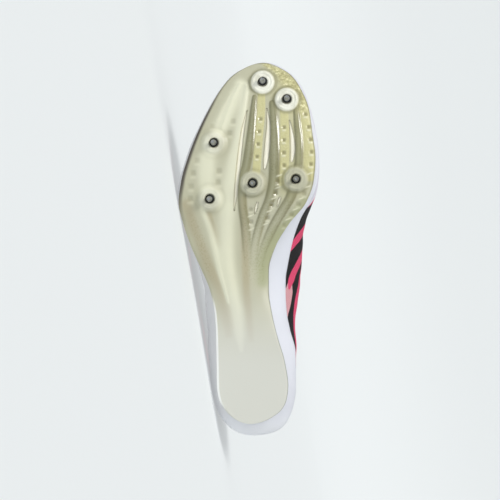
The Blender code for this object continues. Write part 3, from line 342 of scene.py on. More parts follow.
def srgb(red, green, blue):
    """A colour given as it looks on a screen, as the values that a shader takes."""
    def one(value):
        value /= 255
        return value / 12.92 if value <= 0.04045 else ((value + 0.055) / 1.055) ** 2.4
    return one(red), one(green), one(blue)


def column(rows, name):
    """One column of a table."""
    return np.array([getattr(row, name) for row in rows])


def sized(rows, name):
    """One column of a table, times the size that each row names."""
    return np.array([getattr(row, name) * SIZES[row.size] for row in rows])


def through(xs, ys, at):
    """Smooth curve through points that never swings past them."""
    xs = np.asarray(xs, float)
    ys = np.asarray(ys, float)
    at = np.asarray(at, float)
    step = np.diff(xs)
    slope = np.diff(ys) / step
    before, after = slope[:-1], slope[1:]
    level = before * after <= 0
    near = 2 * step[1:] + step[:-1]
    far = step[1:] + 2 * step[:-1]
    mean = (near + far) / (near / np.where(level, 1, before) + far / np.where(level, 1, after))
    lean = np.concatenate([slope[:1], np.where(level, 0, mean), slope[-1:]])
    k = np.clip(np.searchsorted(xs, at, side="right") - 1, 0, len(step) - 1)
    t = (at - xs[k]) / step[k]
    rise = ys[k] * (1 + 2 * t) * (1 - t) ** 2 + ys[k + 1] * t * t * (3 - 2 * t)
    turn = lean[k] * t * (1 - t) ** 2 - lean[k + 1] * t * t * (1 - t)
    return rise + step[k] * turn


def ease(low, high, value):
    """0 below low, 1 above high and a smooth step between them."""
    t = np.clip((value - low) / (high - low), 0, 1)
    return t * t * (3 - 2 * t)


def merge(first, second, soft):
    """The larger of two heights, with a soft join."""
    return (first + second + np.sqrt((first - second) ** 2 + soft * soft)) / 2


def outline_at(rows, share):
    """Outer and inner edge of an outline at a place along it, with round ends."""
    first, last = rows[0].share, rows[-1].share
    def angle(value):
        return np.arccos(np.clip(1 - 2 * (value - first) / (last - first), -1, 1)) / math.pi
    knots = angle(column(rows, "share"))
    at = angle(np.asarray(share, float))
    return through(knots, sized(rows, "outer"), at), through(knots, sized(rows, "inner"), at)


Edge = namedtuple("Edge", "share x outer inner")


def edge_stations(rows, count, close=None):
    """Pairs of points on an outline, heel to toe, even along its rim; close packs (from, to, times)."""
    first, last = rows[0].share, rows[-1].share
    fine = np.linspace(0, 1, FINE_STEPS)
    share = first + (last - first) * (1 - np.cos(math.pi * fine)) / 2
    outer, inner = outline_at(rows, share)
    ahead = np.diff(share) * LENGTH
    travel = np.hypot(ahead, np.diff(outer)) + np.hypot(ahead, np.diff(inner))
    if close:
        middle = (share[1:] + share[:-1]) / 2
        travel = travel * np.where((middle > close[0]) & (middle < close[1]), close[2], 1)
    travel = np.concatenate([[0], np.cumsum(travel)])
    at = np.interp(np.linspace(0, travel[-1], count + 1), travel, fine)
    share = np.interp(at, fine, share)
    return Edge(share, share * LENGTH, np.interp(at, fine, outer), np.interp(at, fine, inner))


def plate_base(share, across):
    """Height of the plate's underside without its relief; across runs from -1, outer, to 1, inner."""
    rows = SOLE_PROFILE
    level = through(column(rows, "share"), sized(rows, "height"), share)
    outer = through(column(rows, "share"), column(rows, "outer_curl") * HEEL_LIFT, share)
    inner = through(column(rows, "share"), column(rows, "inner_curl") * HEEL_LIFT, share)
    return level + np.where(across < 0, outer, inner) * np.abs(across) ** 3


def across_grid(edge, columns):
    """Points across the outline: share of the length, x, y and the place across from -1 to 1."""
    v = np.linspace(0, 1, columns + 1)[None, :]
    y = edge.outer[:, None] * (1 - v) + edge.inner[:, None] * v
    share = np.repeat(edge.share[:, None], columns + 1, axis=1)
    return share, share * LENGTH, y, np.repeat(2 * v - 1, len(edge.share), axis=0)


def points(x, y, z):
    """Flat list of points from three grids."""
    return np.stack([x, y, z], axis=-1).reshape(-1, 3)


def in_place(where):
    """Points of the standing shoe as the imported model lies."""
    return np.asarray(where) @ LAID.T + LAID_AT


def grid_faces(rows, columns, start=0, flip=False):
    """Four-sided faces of a grid of points stored row by row."""
    a = start + (np.arange(rows - 1)[:, None] * columns + np.arange(columns - 1)[None, :]).reshape(-1)
    faces = np.stack([a, a + 1, a + columns + 1, a + columns], axis=-1)
    return (faces[:, ::-1] if flip else faces).tolist()


def loop_band(first, second):
    """Faces between two closed loops of point numbers."""
    count = len(first)
    return [(first[k], first[(k + 1) % count], second[(k + 1) % count], second[k]) for k in range(count)]


def tube_faces(rings, around, capped=False):
    """Faces between rings of points stored one after the other, and over both ends if capped."""
    faces = []
    for ring in range(rings - 1):
        low = list(range(ring * around, (ring + 1) * around))
        faces += loop_band(low, [k + around for k in low])
    if capped:
        last = (rings - 1) * around
        faces += [tuple(range(around))[::-1], tuple(range(last, last + around))]
    return faces


def rim_numbers(rows, columns, start):
    """Point numbers along the outer edge of a grid and back along its inner edge."""
    outer = [start + i * columns for i in range(rows)]
    inner = [start + i * columns + columns - 1 for i in range(rows)]
    return outer + inner[::-1]


def plan_normals(edge):
    """Outward directions along the outer and inner edge, seen from above."""
    loop_x = np.concatenate([edge.x, edge.x[-2:0:-1]])
    loop_y = np.concatenate([edge.outer, edge.inner[-2:0:-1]])
    run_x = np.roll(loop_x, -1) - np.roll(loop_x, 1)
    run_y = np.roll(loop_y, -1) - np.roll(loop_y, 1)
    size = np.hypot(run_x, run_y)
    normal = np.stack([run_y / size, -run_x / size], axis=-1)
    count = len(edge.x)
    inner = np.vstack([normal[:1], normal[count:][::-1], normal[count - 1:count]])
    return normal[:count], inner


def moved_edge(edge, distance):
    """The outline moved inwards by a distance, which may differ from place to place."""
    outer, inner = plan_normals(edge)
    distance = np.broadcast_to(distance, edge.share.shape)
    return (
        np.stack([edge.x, edge.outer], axis=-1) - outer * distance[:, None],
        np.stack([edge.x, edge.inner], axis=-1) - inner * distance[:, None],
    )


def bed_height(x, y):
    """Height of the foam's top at any place."""
    share = np.asarray(x) / LENGTH
    base = plate_base(share, np.zeros_like(share)) + PLATE + GAP
    depths = column(FOAM_DEPTH, "share")
    outer_top = base + through(depths, sized(FOAM_DEPTH, "outer"), share)
    inner_top = base + through(depths, sized(FOAM_DEPTH, "inner"), share)
    outer, inner = outline_at(FOAM_OUTLINE, share)
    v = np.clip((y - outer) / np.maximum(inner - outer, PLATE), 0, 1)
    return outer_top * (1 - v) + inner_top * v


def surface_normals(grid):
    """Normals of a grid of points, from the differences to its neighbours."""
    normal = np.cross(np.gradient(grid, axis=0), np.gradient(grid, axis=1))
    size = np.linalg.norm(normal, axis=-1, keepdims=True)
    return normal / np.where(size < 1e-12, 1, size)


def travelled(line):
    """How far each point of a line lies along it."""
    return np.concatenate([[0], np.cumsum(np.linalg.norm(np.diff(line, axis=0), axis=1))])


def evenly(rows, count):
    """Each section again, with evenly spaced points."""
    even = []
    for row in rows:
        reach = travelled(row)
        at = np.linspace(0, reach[-1], count)
        even.append(np.stack([np.interp(at, reach, row[:, axis]) for axis in range(3)], axis=-1))
    return np.array(even)


def add_object(name, data):
    """An object in the scene for its mesh, light or camera."""
    obj = bpy.data.objects.new(name, data)
    bpy.context.scene.collection.objects.link(obj)
    return obj


@contextmanager
def edited(mesh):
    """The mesh as a form to edit, written back at the end."""
    form = bmesh.new()
    form.from_mesh(mesh)
    yield form
    form.to_mesh(mesh)
    form.free()


def store(mesh, name, values):
    """Keep one value for each of the mesh's points."""
    layer = mesh.attributes.new(name, "FLOAT", "POINT")
    layer.data.foreach_set("value", np.asarray(values, np.float32).reshape(-1))


def new_piece(name, where, faces, materials, uv=None, fields=None):
    """A mesh object from points of the standing shoe, laid in place, with its seams closed."""
    mesh = bpy.data.meshes.new(name)
    mesh.from_pydata(in_place(where).tolist(), [], faces)
    if uv is not None:
        layer = mesh.uv_layers.new(name="cloth")
        corners = np.zeros(len(mesh.loops), np.int32)
        mesh.loops.foreach_get("vertex_index", corners)
        layer.data.foreach_set("uv", np.asarray(uv, np.float32)[corners].reshape(-1))
    for field, values in (fields or {}).items():
        store(mesh, field, values)
    with edited(mesh) as form:
        bmesh.ops.remove_doubles(form, verts=form.verts, dist=1e-6)
        bmesh.ops.dissolve_degenerate(form, edges=form.edges, dist=1e-7)
        bmesh.ops.recalc_face_normals(form, faces=form.faces)
    for material in materials:
        mesh.materials.append(material)
    mesh.shade_smooth()
    return add_object(name, mesh)


def finish_piece(obj, slot, *nodes):
    """The piece rides on the shoe and stands for the CAD nodes, which it hides; its slot is not used."""
    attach(obj, "root")
    if nodes:
        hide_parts(*nodes)
    return obj


class Wire:
    """An output socket in a material; sums, products and comparisons on it add Math nodes."""

    def __init__(self, finish, socket):
        self.finish = finish
        self.socket = socket

    def math(self, operation, *values):
        return self.finish.add("ShaderNodeMath", {"operation": operation}, dict(enumerate(values)))

    def __add__(self, other):
        return self.math("ADD", self, other)

    def __sub__(self, other):
        return self.math("SUBTRACT", self, other)

    def __rsub__(self, other):
        return self.math("SUBTRACT", other, self)

    def __mul__(self, other):
        return self.math("MULTIPLY", self, other)

    def __truediv__(self, other):
        return self.math("DIVIDE", self, other)

    def __abs__(self):
        return self.math("ABSOLUTE", self)

    __radd__ = __add__
    __rmul__ = __mul__

    def wave(self):
        """The sine of the value."""
        return self.math("SINE", self)

    def part(self):
        """What is left of the value after its whole number."""
        return self.math("FRACT", self)

    def whole(self):
        """The value's whole number."""
        return self.math("FLOOR", self)

    def step(self, low, high):
        """0 below low, 1 above high and a smooth step between them."""
        settings = {"interpolation_type": "SMOOTHSTEP"}
        values = {"Value": self, "From Min": low, "From Max": high}
        return self.finish.add("ShaderNodeMapRange", settings, values)


class Finish:
    """A material with a Principled shader, and short ways to add nodes to it."""

    def __init__(self, name, **constants):
        self.material = bpy.data.materials.new(name)
        self.material.use_nodes = True
        self.tree = self.material.node_tree
        self.shader = self.tree.nodes["Principled BSDF"]
        for socket, value in constants.items():
            self.shader.inputs[socket.replace("_", " ")].default_value = value

    def add(self, kind, settings=None, values=None, out=0):
        """Add a node: its settings first, then values or links for its sockets; gives one output."""
        node = self.tree.nodes.new(kind)
        for name, value in (settings or {}).items():
            setattr(node, name, value)
        for socket, value in (values or {}).items():
            if isinstance(value, Wire):
                self.tree.links.new(value.socket, node.inputs[socket])
            elif isinstance(value, tuple) and len(value) == 3 and len(node.inputs[socket].default_value) == 4:
                node.inputs[socket].default_value = (*value, 1)
            else:
                node.inputs[socket].default_value = value
        return Wire(self, node.outputs[out])

    def place(self):
        """Object coordinates."""
        return self.add("ShaderNodeTexCoord", out="Object")

    def uv(self):
        """The piece's own UV map, split into along and up."""
        both = self.add("ShaderNodeUVMap", {"uv_map": "cloth"})
        return [self.add("ShaderNodeSeparateXYZ", None, {0: both}, out) for out in (0, 1)]

    def field(self, name):
        """A value stored on the piece's points."""
        return self.add("ShaderNodeAttribute", {"attribute_name": name}, out="Fac")

    def vector(self, *parts):
        return self.add("ShaderNodeCombineXYZ", None, dict(enumerate(parts)))

    def noise(self, where, scale, detail=2.0, rough=0.5):
        """Soft random values from 0 to 1."""
        values = {"Vector": where, "Scale": scale, "Detail": detail, "Roughness": rough}
        return self.add("ShaderNodeTexNoise", None, values, "Fac")

    def cells(self, where, scale):
        """Distance to the middle of the nearest cell."""
        return self.add("ShaderNodeTexVoronoi", None, {"Vector": where, "Scale": scale}, "Distance")

    def mix(self, factor, first, second):
        """From the first colour to the second."""
        return self.add("ShaderNodeMix", {"data_type": "RGBA"}, {0: factor, 6: first, 7: second}, 2)

    def use(self, **sockets):
        """Link values to the shader's sockets."""
        for name, wire in sockets.items():
            self.tree.links.new(wire.socket, self.shader.inputs[name.replace("_", " ")])

    def bump(self, height, distance, strength=1.0):
        """Raise the surface's look by a height."""
        values = {"Height": height, "Distance": distance, "Strength": strength}
        self.use(Normal=self.add("ShaderNodeBump", None, values))


def length(name, description, default, low, high):
    """A length among the looks, in metres."""
    return FloatProperty(name=name, description=description, default=default, min=low, max=high,
                         unit="LENGTH", precision=4)


def amount(name, description, default, high):
    """A plain number among the looks."""
    return FloatProperty(name=name, description=description, default=default, min=0, max=high)


def tint(name, description, *rgb):
    """A colour among the looks, given as it looks on a screen."""
    return FloatVectorProperty(name=name, description=description, default=srgb(*rgb), min=0, max=1,
                               subtype="COLOR")


class SoleLooks(bpy.types.PropertyGroup):
    """Relief and colours of the sprint plate, the foam and the pins."""
    flute: length("Flute height", "How far the flutes stand proud", 0.0016, 0, 0.004)
    spine: length("Spine height", "How far the broad spine stands proud", 0.0013, 0, 0.004)
    strip: length("Strip height", "Height of the strips with pits", 0.0006, 0, 0.003)
    pit: length("Pit depth", "Depth of the small pits", 0.0011, 0, 0.0015)
    heel: tint("Heel colour", "Smooth heel of the plate", 212, 212, 204)
    body: tint("Body colour", "Plate where nothing else colours it", 190, 188, 162)
    # The cream colour also paints the sheen strokes, a painted highlight.
    cream: tint("Cream colour", "Spine and soft mounds", 222, 221, 196)
    gold: tint("Gold colour", "Strips and toe", 203, 198, 147)
    olive: tint("Olive colour", "Flutes", 127, 125, 88)
    tan: tint("Tan colour", "Valleys beside the spine", 177, 169, 139)
    moss: tint("Moss colour", "Green shade on the inner arch", 166, 168, 132)
    dome: tint("Boss colour", "Bosses of the two front spikes", 246, 245, 232)
    foam: tint("Foam colour", "Midsole foam", 217, 219, 227)
    # Painted light: the slot colour is paler and warmer than the foam, as if lit through the plate.
    slot: tint("Slot colour", "Foam that stands in the slots", 244, 240, 222)
    steel: tint("Steel colour", "Spike pins", 170, 172, 176)


class UpperLooks(bpy.types.PropertyGroup):
    """Colours and sizes of the cloth pieces."""
    black: tint("Cloth colour", "Ground of the knit", 22, 21, 22)
    hot: tint("Bright streak", "Hot pink streaks", 232, 78, 118)
    pale: tint("Pale streak", "Pale pink streaks", 226, 168, 174)
    guard: tint("Guard colour", "Film at the foot of the front", 222, 218, 228)
    lining: tint("Lining colour", "Inside of the upper", 38, 37, 40)
    lace: tint("Lace colour", "Flat lace", 26, 25, 27)
    knit: length("Knit pitch", "From one hole of the knit to the next", 0.0019, 0.0008, 0.005)
    stitch: length("Stitch pitch", "From one stitch to the next", 0.0026, 0.001, 0.006)
    eyelet: length("Eyelet radius", "Middle of an eyelet's ring", 0.0024, 0.001, 0.004)


class StageLooks(bpy.types.PropertyGroup):
    """Camera, lights and floor."""
    tilt: FloatProperty(name="Camera tilt", description="How far the camera looks from the inner side",
                        default=math.radians(3.0), min=0, max=0.5, subtype="ANGLE")
    view: FloatProperty(name="Field of view", description="Of the square picture", default=math.radians(14.4),
                        min=0.05, max=1, subtype="ANGLE")
    picture: length("Picture width", "Width of the picture at the sole", 0.378, 0.1, 2)
    middle: length("Picture middle", "Place along the shoe in the picture's middle", 0.1417, 0, 0.3)
    key: amount("Main light", "Strength of the main light", 2.2, 50)
    fill: amount("Fill light", "Strength of the fill light", 1.30, 50)
    air: amount("Room light", "Strength of the light from all round", 0.42, 5)
    glow: amount("Floor glow", "How far the floor and backdrop light themselves", 0.55, 2)
    wall: amount("Wall glow", "The same, up on the backdrop's curve", 0.45, 2)
    floor: tint("Floor colour", "Floor and backdrop", 234, 238, 239)
    shade: amount("Floor shade", "Share of its colour that the floor gives back", 0.45, 1)
    sides: IntProperty(name="Backdrop steps", description="Steps of the backdrop's curve", default=24,
                       min=4, max=64)


def stroke_reach(rows, x, y):
    """Distance from a stroke's middle, with round ends, and its half width there."""
    along = [row.along / 1000 for row in rows]
    at = np.clip(x, along[0], along[-1])
    over = through(along, [row.over / 1000 for row in rows], at)
    half = through(along, [row.half / 1000 for row in rows], at)
    return np.hypot(y - over, x - at), half


def stroke_distance(rows, x, y):
    """Distance from a stroke's middle as a share of its half width."""
    away, half = stroke_reach(rows, x, y)
    return away / half


def stroke_gap(rows, x, y):
    """Distance from a stroke's edge in metres, negative inside it."""
    away, half = stroke_reach(rows, x, y)
    return away - half


def tube(distance):
    """Section of a flute: a broad crown with steep sides."""
    return np.clip(1 - distance ** 3, 0, 1) ** 0.7


def mound(distance):
    """Soft section of a ridge."""
    return np.exp(-distance ** 2)


def boss_form(boss, x, y):
    """Distance from the boss's middle and its form from 0 to 1."""
    away = np.hypot(x - boss.share * LENGTH, y - boss.across * BALL_WIDTH)
    return away, 1 - ease(boss.crown - 0.0006, boss.foot, away)


def pit_form(x, y):
    """Square pits with round corners, and the small lip on each one's heel side."""
    pits, lips = np.zeros_like(x), np.zeros_like(x)
    for pit in PITS:
        dx, dy = (x * 1000 - pit.along) / pit.half, (y * 1000 - pit.over) / pit.half
        near = (dx ** 4 + dy ** 4) ** 0.25
        pits = np.maximum(pits, pit.deep * (1 - ease(0.35, 1.25, near)))
        lips = np.maximum(lips, pit.deep * np.exp(-((dx + 1.5) / 0.50) ** 2 - (dy / 1.0) ** 4))
    return pits, lips


def tick_form(x, y):
    """Short ribs that stand across the flutes."""
    ticks = np.zeros_like(x)
    for along, over in TICKS:
        dx, dy = x - along / 1000, y - over / 1000
        dx = dx - 0.35 * dy
        ticks = np.maximum(ticks, np.exp(-(dx / TICK_WIDTH) ** 2 - (dy / TICK_HALF) ** 4))
    return ticks


def distances(table, x, y):
    """Distance from each stroke of a table."""
    return [stroke_distance(rows, x, y) for rows in table]


def flute_fade(x):
    """The flutes fade out into the waist."""
    return ease(0.122, 0.168, x)


def moulded_relief(x, y, looks):
    """Height of the spine, ridges, strips and flutes, with their short ribs and pits."""
    relief = looks.spine * mound(stroke_distance(SPINE, x, y)) * ease(0.060, 0.125, x)
    for distance, height in zip(distances(LATERAL, x, y), LATERAL_HEIGHTS):
        relief = merge(relief, height * mound(distance), 0.0003)
    for distance in distances(STRIPS, x, y):
        relief = merge(relief, looks.strip * (1 - ease(0.75, 1.15, distance)), 0.0002)
    for distance in distances(FLUTES, x, y):
        relief = merge(relief, looks.flute * tube(distance) * flute_fade(x), 0.00025)
    pits, lips = pit_form(x, y)
    return relief - 0.0001 + 0.00045 * np.maximum(lips, tick_form(x, y)) - looks.pit * pits


def add_bosses(relief, x, y, across):
    """The relief with six bosses on it, each with turned rings and a socket for its pin."""
    base = plate_base(x / LENGTH, across)
    for boss in BOSSES:
        away, form = boss_form(boss, x, y)
        origin, axis = place_on_plate(boss)
        fall = (axis.x * (x - origin.x) + axis.y * (y - origin.y)) / -axis.z
        level = base - (origin.z + fall - boss.height / -axis.z)
        soft = 0.0012 if boss.white < 0.2 else 0.0004
        rings = 0.00016 * np.cos(2 * math.pi * away / 0.0024) * form
        relief = merge(relief, (level + rings) * form, soft * ease(0, 0.3, form) + 1e-6)
        socket = 1 - ease(SEAT_RADIUS + 0.0001, SEAT_RADIUS + 0.0006, away)
        relief = relief * (1 - socket) + (level - SEAT_DEPTH) * socket
    return relief


def plate_relief(x, y, across, looks):
    """How far the plate's underside stands proud, down to nothing at its rim."""
    rim = np.clip((1 - np.abs(across)) / 0.05, 0, 1)
    return add_bosses(moulded_relief(x, y, looks), x, y, across) * rim


def boss_colours(x, y):
    """Shares of the bosses' colours, and where they cover the plate's own."""
    marks = {name: np.zeros_like(x) for name in ("white", "skirt", "cover", "matt", "ring")}
    for boss in BOSSES:
        away, form = boss_form(boss, x, y)
        # Painted shade: a dark ring round each boss's foot, with a lighter wash of it over the boss.
        foot_ring = np.exp(-((away - boss.foot * 0.93) / 0.0013) ** 2)
        shares = (
            ease(0.30, 0.95, form) * boss.white,
            boss.skirt * np.maximum(foot_ring, 0.3 * form),
            form,
            1 - ease(boss.foot, boss.foot + 0.006, away),
            # Ring round the pin's socket, darkened later with the pits as painted shade.
            1 - ease(SEAT_RADIUS + 0.0003, SEAT_RADIUS + 0.0010, away),
        )
        for name, share in zip(marks, shares):
            marks[name] = np.maximum(marks[name], share)
    return marks


def edge_colours(x, across):
    """Shares of the colours along the plate's rim, with painted shade and a painted highlight among them."""
    outer, inner = outline_at(PLATE_OUTLINE, x / LENGTH)
    margin = (1 - np.abs(across)) * (inner - outer) / 2
    margin = np.minimum(margin, PLATE_OUTLINE[-1].share * LENGTH - x)
    return {
        # Painted shade: a dark band along the outer forefoot edge, the side away from the light.
        "rim": ease(0.925, 0.975, -across) * ease(0.155, 0.195, x) * (1 - ease(0.240, 0.276, x)),
        "edge": (1 - ease(0.0004, 0.0013, margin)) * ease(0.16, 0.20, x),
        "side": ease(0.84, 0.96, np.abs(across)),
        # Painted shade: a grey line along the heel's inner edge, between plate and foam.
        "line": ease(0.970, 0.992, across) * (1 - ease(0.125, 0.150, x)),
        # Painted highlight: a pale line along the heel's outer edge.
        "lip": ease(0.925, 0.960, -across) * (1 - ease(0.095, 0.110, x)) * ease(0.018, 0.030, x),
    }


def plate_colours(x, y, across):
    """Shares of the plate's colours at each point of its underside, painted shade and painted highlights
    among them.
    """
    flutes, lateral = distances(FLUTES, x, y), stroke_distance(LATERAL[3], x, y)
    marks = boss_colours(x, y)
    cover, ring = marks.pop("cover"), marks.pop("ring")
    no_boss = 1 - ease(0.1, 0.5, marks["white"]) * (1 - ring)
    pits, lips = pit_form(x, y)
    strips = np.max([1 - ease(0.70, 1.35, d) for d in distances(STRIPS, x, y)], axis=0)
    washed = strips + 0.6 * mound(stroke_distance(WASHED, x, y))
    crowns = np.max([tube(d) * (1 - 0.35 * mound(d / 0.45)) for d in flutes], axis=0)
    # Painted shade: the flutes darken towards their edges.
    groove_shades = np.max([np.exp(-((d - 0.80) / 0.22) ** 2) for d in flutes], axis=0)
    # Painted highlight: the sheen strokes turn the plate cream.
    light = np.max([mound(d) for d in distances(PAINTED_SHEEN, x, y)], axis=0)
    ahead = 0.1 + 0.6 * flute_fade(x) + 0.3 * ease(0.165, 0.20, x)
    return {
        "gold": np.clip(washed, 0, 1) * (1 - 0.8 * cover),
        "gilt": mound(stroke_distance(GILT, x, y)),
        "moss": mound(stroke_distance(MOSS, x, y)),
        "olive": crowns * ahead * (1 - 0.85 * cover),
        "groove": groove_shades * flute_fade(x) * (1 - 0.85 * cover),
        "cream": np.clip(mound(stroke_distance(SPINE, x, y) / 1.15) + light + 0.8 * mound(lateral), 0, 1),
        "tan": np.max([mound(d) for d in distances(TAN, x, y)], axis=0),
        "heel": 1 - ease(0.050, 0.130, x),
        # Painted shade: the pits and the ring round each pin's socket are darkened.
        "pit": np.clip(pits * no_boss + ring, 0, 1),
        # Painted highlight: the short ribs and the lips on the pits' heel side are painted pale.
        "tick": np.maximum(tick_form(x, y), lips) * no_boss,
        **marks,
        **edge_colours(x, across),
    }


# Fixed tints of the plate, each laid over the ones before it: field, share, screen colour. The low ones are
# painted shade; of the top ones, all but the first, a dark outline, are painted shade or painted highlights.
PAINTED_LOW_SHADES = (("groove", 0.66, (118, 114, 76)), ("skirt", 0.60, (136, 133, 100)))
TOP_TINTS_AND_PAINTED_LIGHT = (
    ("edge", 0.75, (124, 120, 88)), ("rim", 0.95, (72, 65, 60)), ("line", 0.75, (128, 128, 122)),
    ("lip", 1.0, (250, 250, 248)), ("pit", 0.62, (104, 97, 60)), ("tick", 0.65, (240, 238, 212)),
)


def tinted(f, colour, tints):
    """The colour with fixed tints, painted shade and painted highlights over it, each where its field says.
    """
    for name, share, rgb in tints:
        colour = f.mix(f.field(name) * share, colour, srgb(*rgb))
    return colour


def plate_material(looks):
    """Clear hard plastic over a pearly ground, tinted along the flutes, strips and spine, with painted shade
    and painted highlights on it.
    """
    f = Finish("sprint_plate", Specular_IOR_Level=0.55, Coat_Roughness=0.10)
    where = f.place()
    cloud = f.noise(where, 45, 3)
    fine = f.noise(where, 900, 2)
    colour = f.mix(cloud.step(0.25, 0.75) * 0.5, tuple(looks.body), tuple(c * 0.9 for c in looks.body))
    side, gilt = f.field("side"), f.field("gilt")
    # Painted light in the gilt at the toe: this noise paints dark flecks as the crinkles' shade and pale ones
    # as their glints, and also raises their bump.
    crinkle_glints = f.noise(where, 430, 2, 0.6)
    gold_with_glints = f.mix(crinkle_glints.step(0.36, 0.56), srgb(172, 165, 118), tuple(looks.gold))
    gold_with_glints = f.mix(crinkle_glints.step(0.58, 0.68), gold_with_glints, srgb(246, 240, 196))
    for name in ("tan", "moss", "gold", "olive", "cream", "gilt"):
        share = (f.field(name) * (0.72 + cloud * 0.5)).step(0.05, 1.0)
        colour = f.mix(share, colour, gold_with_glints if name == "gilt" else tuple(getattr(looks, name)))
    colour = f.mix(f.field("heel") * 0.92, colour, tuple(looks.heel))
    colour = tinted(f, colour, PAINTED_LOW_SHADES)
    cast = f.noise(where, 170, 2).step(0.35, 0.75) * 0.4
    colour = f.mix(f.field("white"), colour, f.mix(cast, tuple(looks.dome), tuple(looks.body)))
    colour = tinted(f, colour, TOP_TINTS_AND_PAINTED_LIGHT)
    crinkle = f.cells(where, 520) * f.field("gold") * (1 - f.field("olive"))
    wrinkle = crinkle_glints * gilt
    dull = f.field("heel") * 0.18 + side * 0.3 + f.field("matt") * 0.30 + f.field("cream") * 0.12
    dull = dull + f.field("tick") * 0.2
    f.use(Base_Color=colour, Roughness=0.22 + fine * 0.12 + dull)
    clear = (1 - f.field("cream") * 0.65) * (1 - f.field("matt") * 0.75)
    f.use(Coat_Weight=(0.60 - f.field("heel") * 0.42) * (1 - side * 0.85) * clear)
    f.bump(fine * 0.25 + crinkle * 0.8 + wrinkle * 3.0 + cloud * 0.4, 0.00018)
    return f.material


def slot_path(places, count):
    """Points along a slot: their share of the length, middle and half width."""
    rows = sorted(places)
    shares = [row.share for row in rows]
    at = np.linspace(shares[0], shares[-1], count)
    middle = through(shares, [row.across * BALL_WIDTH for row in rows], at)
    return at, middle, through(shares, [row.half for row in rows], at)


def slot_blade(places):
    """A blade that follows one slot, from below the plate to above it."""
    at, middle, half = slot_path(places, 24)
    loop = [*zip(at * LENGTH, middle - half), *zip(at[::-1] * LENGTH, (middle + half)[::-1])]
    body = [(x, y, height) for height in (-TOE_SPRING, 2 * TOE_SPRING) for x, y in loop]
    return body, tube_faces(2, len(loop), capped=True)


def slot_rib(places):
    """A rib of the foam that stands in one slot, a little below the plate's surface."""
    at, middle, half = slot_path(places, 30)
    half = np.maximum(half - GAP / 3, GAP / 3)
    outer, inner = outline_at(PLATE_OUTLINE, at)
    low = plate_base(at, 2 * (middle - outer) / (inner - outer) - 1)
    section = ((-1, PLATE + 3 * GAP), (-1, 2 * GAP), (-0.6, GAP), (0, 0.7 * GAP), (0.6, GAP), (1, 2 * GAP),
               (1, PLATE + 3 * GAP))
    body = [(x, y + side * h, z + rise) for x, y, h, z in zip(at * LENGTH, middle, half, low)
            for side, rise in section]
    return body, tube_faces(len(at), len(section), capped=True)


def joined(bodies):
    """One list of points and faces from several."""
    vertices, faces = [], []
    for body, its_faces in bodies:
        faces += [tuple(k + len(vertices) for k in face) for face in its_faces]
        vertices += [tuple(v) for v in body]
    return vertices, faces


def settle(obj):
    """Turn the evaluated object into a plain mesh and remove its modifiers."""
    graph = bpy.context.evaluated_depsgraph_get()
    mesh = bpy.data.meshes.new_from_object(obj.evaluated_get(graph), depsgraph=graph)
    mesh.name = obj.name
    obj.modifiers.clear()
    obj.data = mesh
    return obj


def plate_shell(looks):
    """Points and faces of the plate: a fine underside with all relief, and a plain back."""
    edge = edge_stations(PLATE_OUTLINE, PLATE_STATIONS, PLATE_PACKING)
    share, x, y, across = across_grid(edge, PLATE_COLUMNS)
    low = points(x, y, plate_base(share, across) - plate_relief(x, y, across, looks))
    plain = Edge(*(part[::4] for part in edge))
    share, x, y, across = across_grid(plain, BACK_COLUMNS)
    high = points(x, y, plate_base(share, across) + PLATE)
    rows, few = len(edge.share), len(plain.share)
    wide, narrow = PLATE_COLUMNS + 1, BACK_COLUMNS + 1
    faces = grid_faces(rows, wide) + grid_faces(few, narrow, len(low), flip=True)
    for side in (0, 1):
        fine = [i * wide + side * PLATE_COLUMNS for i in range(rows)]
        coarse = [len(low) + i * narrow + side * BACK_COLUMNS for i in range(few)]
        for k in range(few - 1):
            near, far = coarse[k:k + 2]
            a, b, c, d, e = fine[4 * k:4 * k + 5]
            band = [(near, a, b), (near, b, c), (near, c, far), (far, c, d), (far, d, e)]
            faces += band if side else [face[::-1] for face in band]
    return np.vstack([low, high]), faces


def make_plate(looks):
    """The sprint plate, with its slots cut through, in place of the CAD plate."""
    plate = new_piece("sprint_plate", *plate_shell(looks), [plate_material(looks)])
    blades = new_piece("slot_blades", *joined([slot_blade(rows) for rows in SLOTS]), [])
    cut = plate.modifiers.new("slots", "BOOLEAN")
    cut.operation = "DIFFERENCE"
    cut.solver = "EXACT"
    cut.object = blades
    settle(plate)
    bpy.data.objects.remove(blades)
    mesh = plate.data
    where = np.zeros(len(mesh.vertices) * 3, np.float32)
    mesh.vertices.foreach_get("co", where)
    where = (where.reshape(-1, 3) - LAID_AT) @ LAID
    x, y = where[:, 0], where[:, 1]
    outer, inner = outline_at(PLATE_OUTLINE, x / LENGTH)
    across = 2 * (y - outer) / np.maximum(inner - outer, 1e-6) - 1
    for name, values in plate_colours(x, y, across).items():
        store(mesh, name, values)
    mesh.shade_smooth()
    mesh.set_sharp_from_angle(angle=math.radians(50))
    return finish_piece(plate, "plate", "outsole_plate")


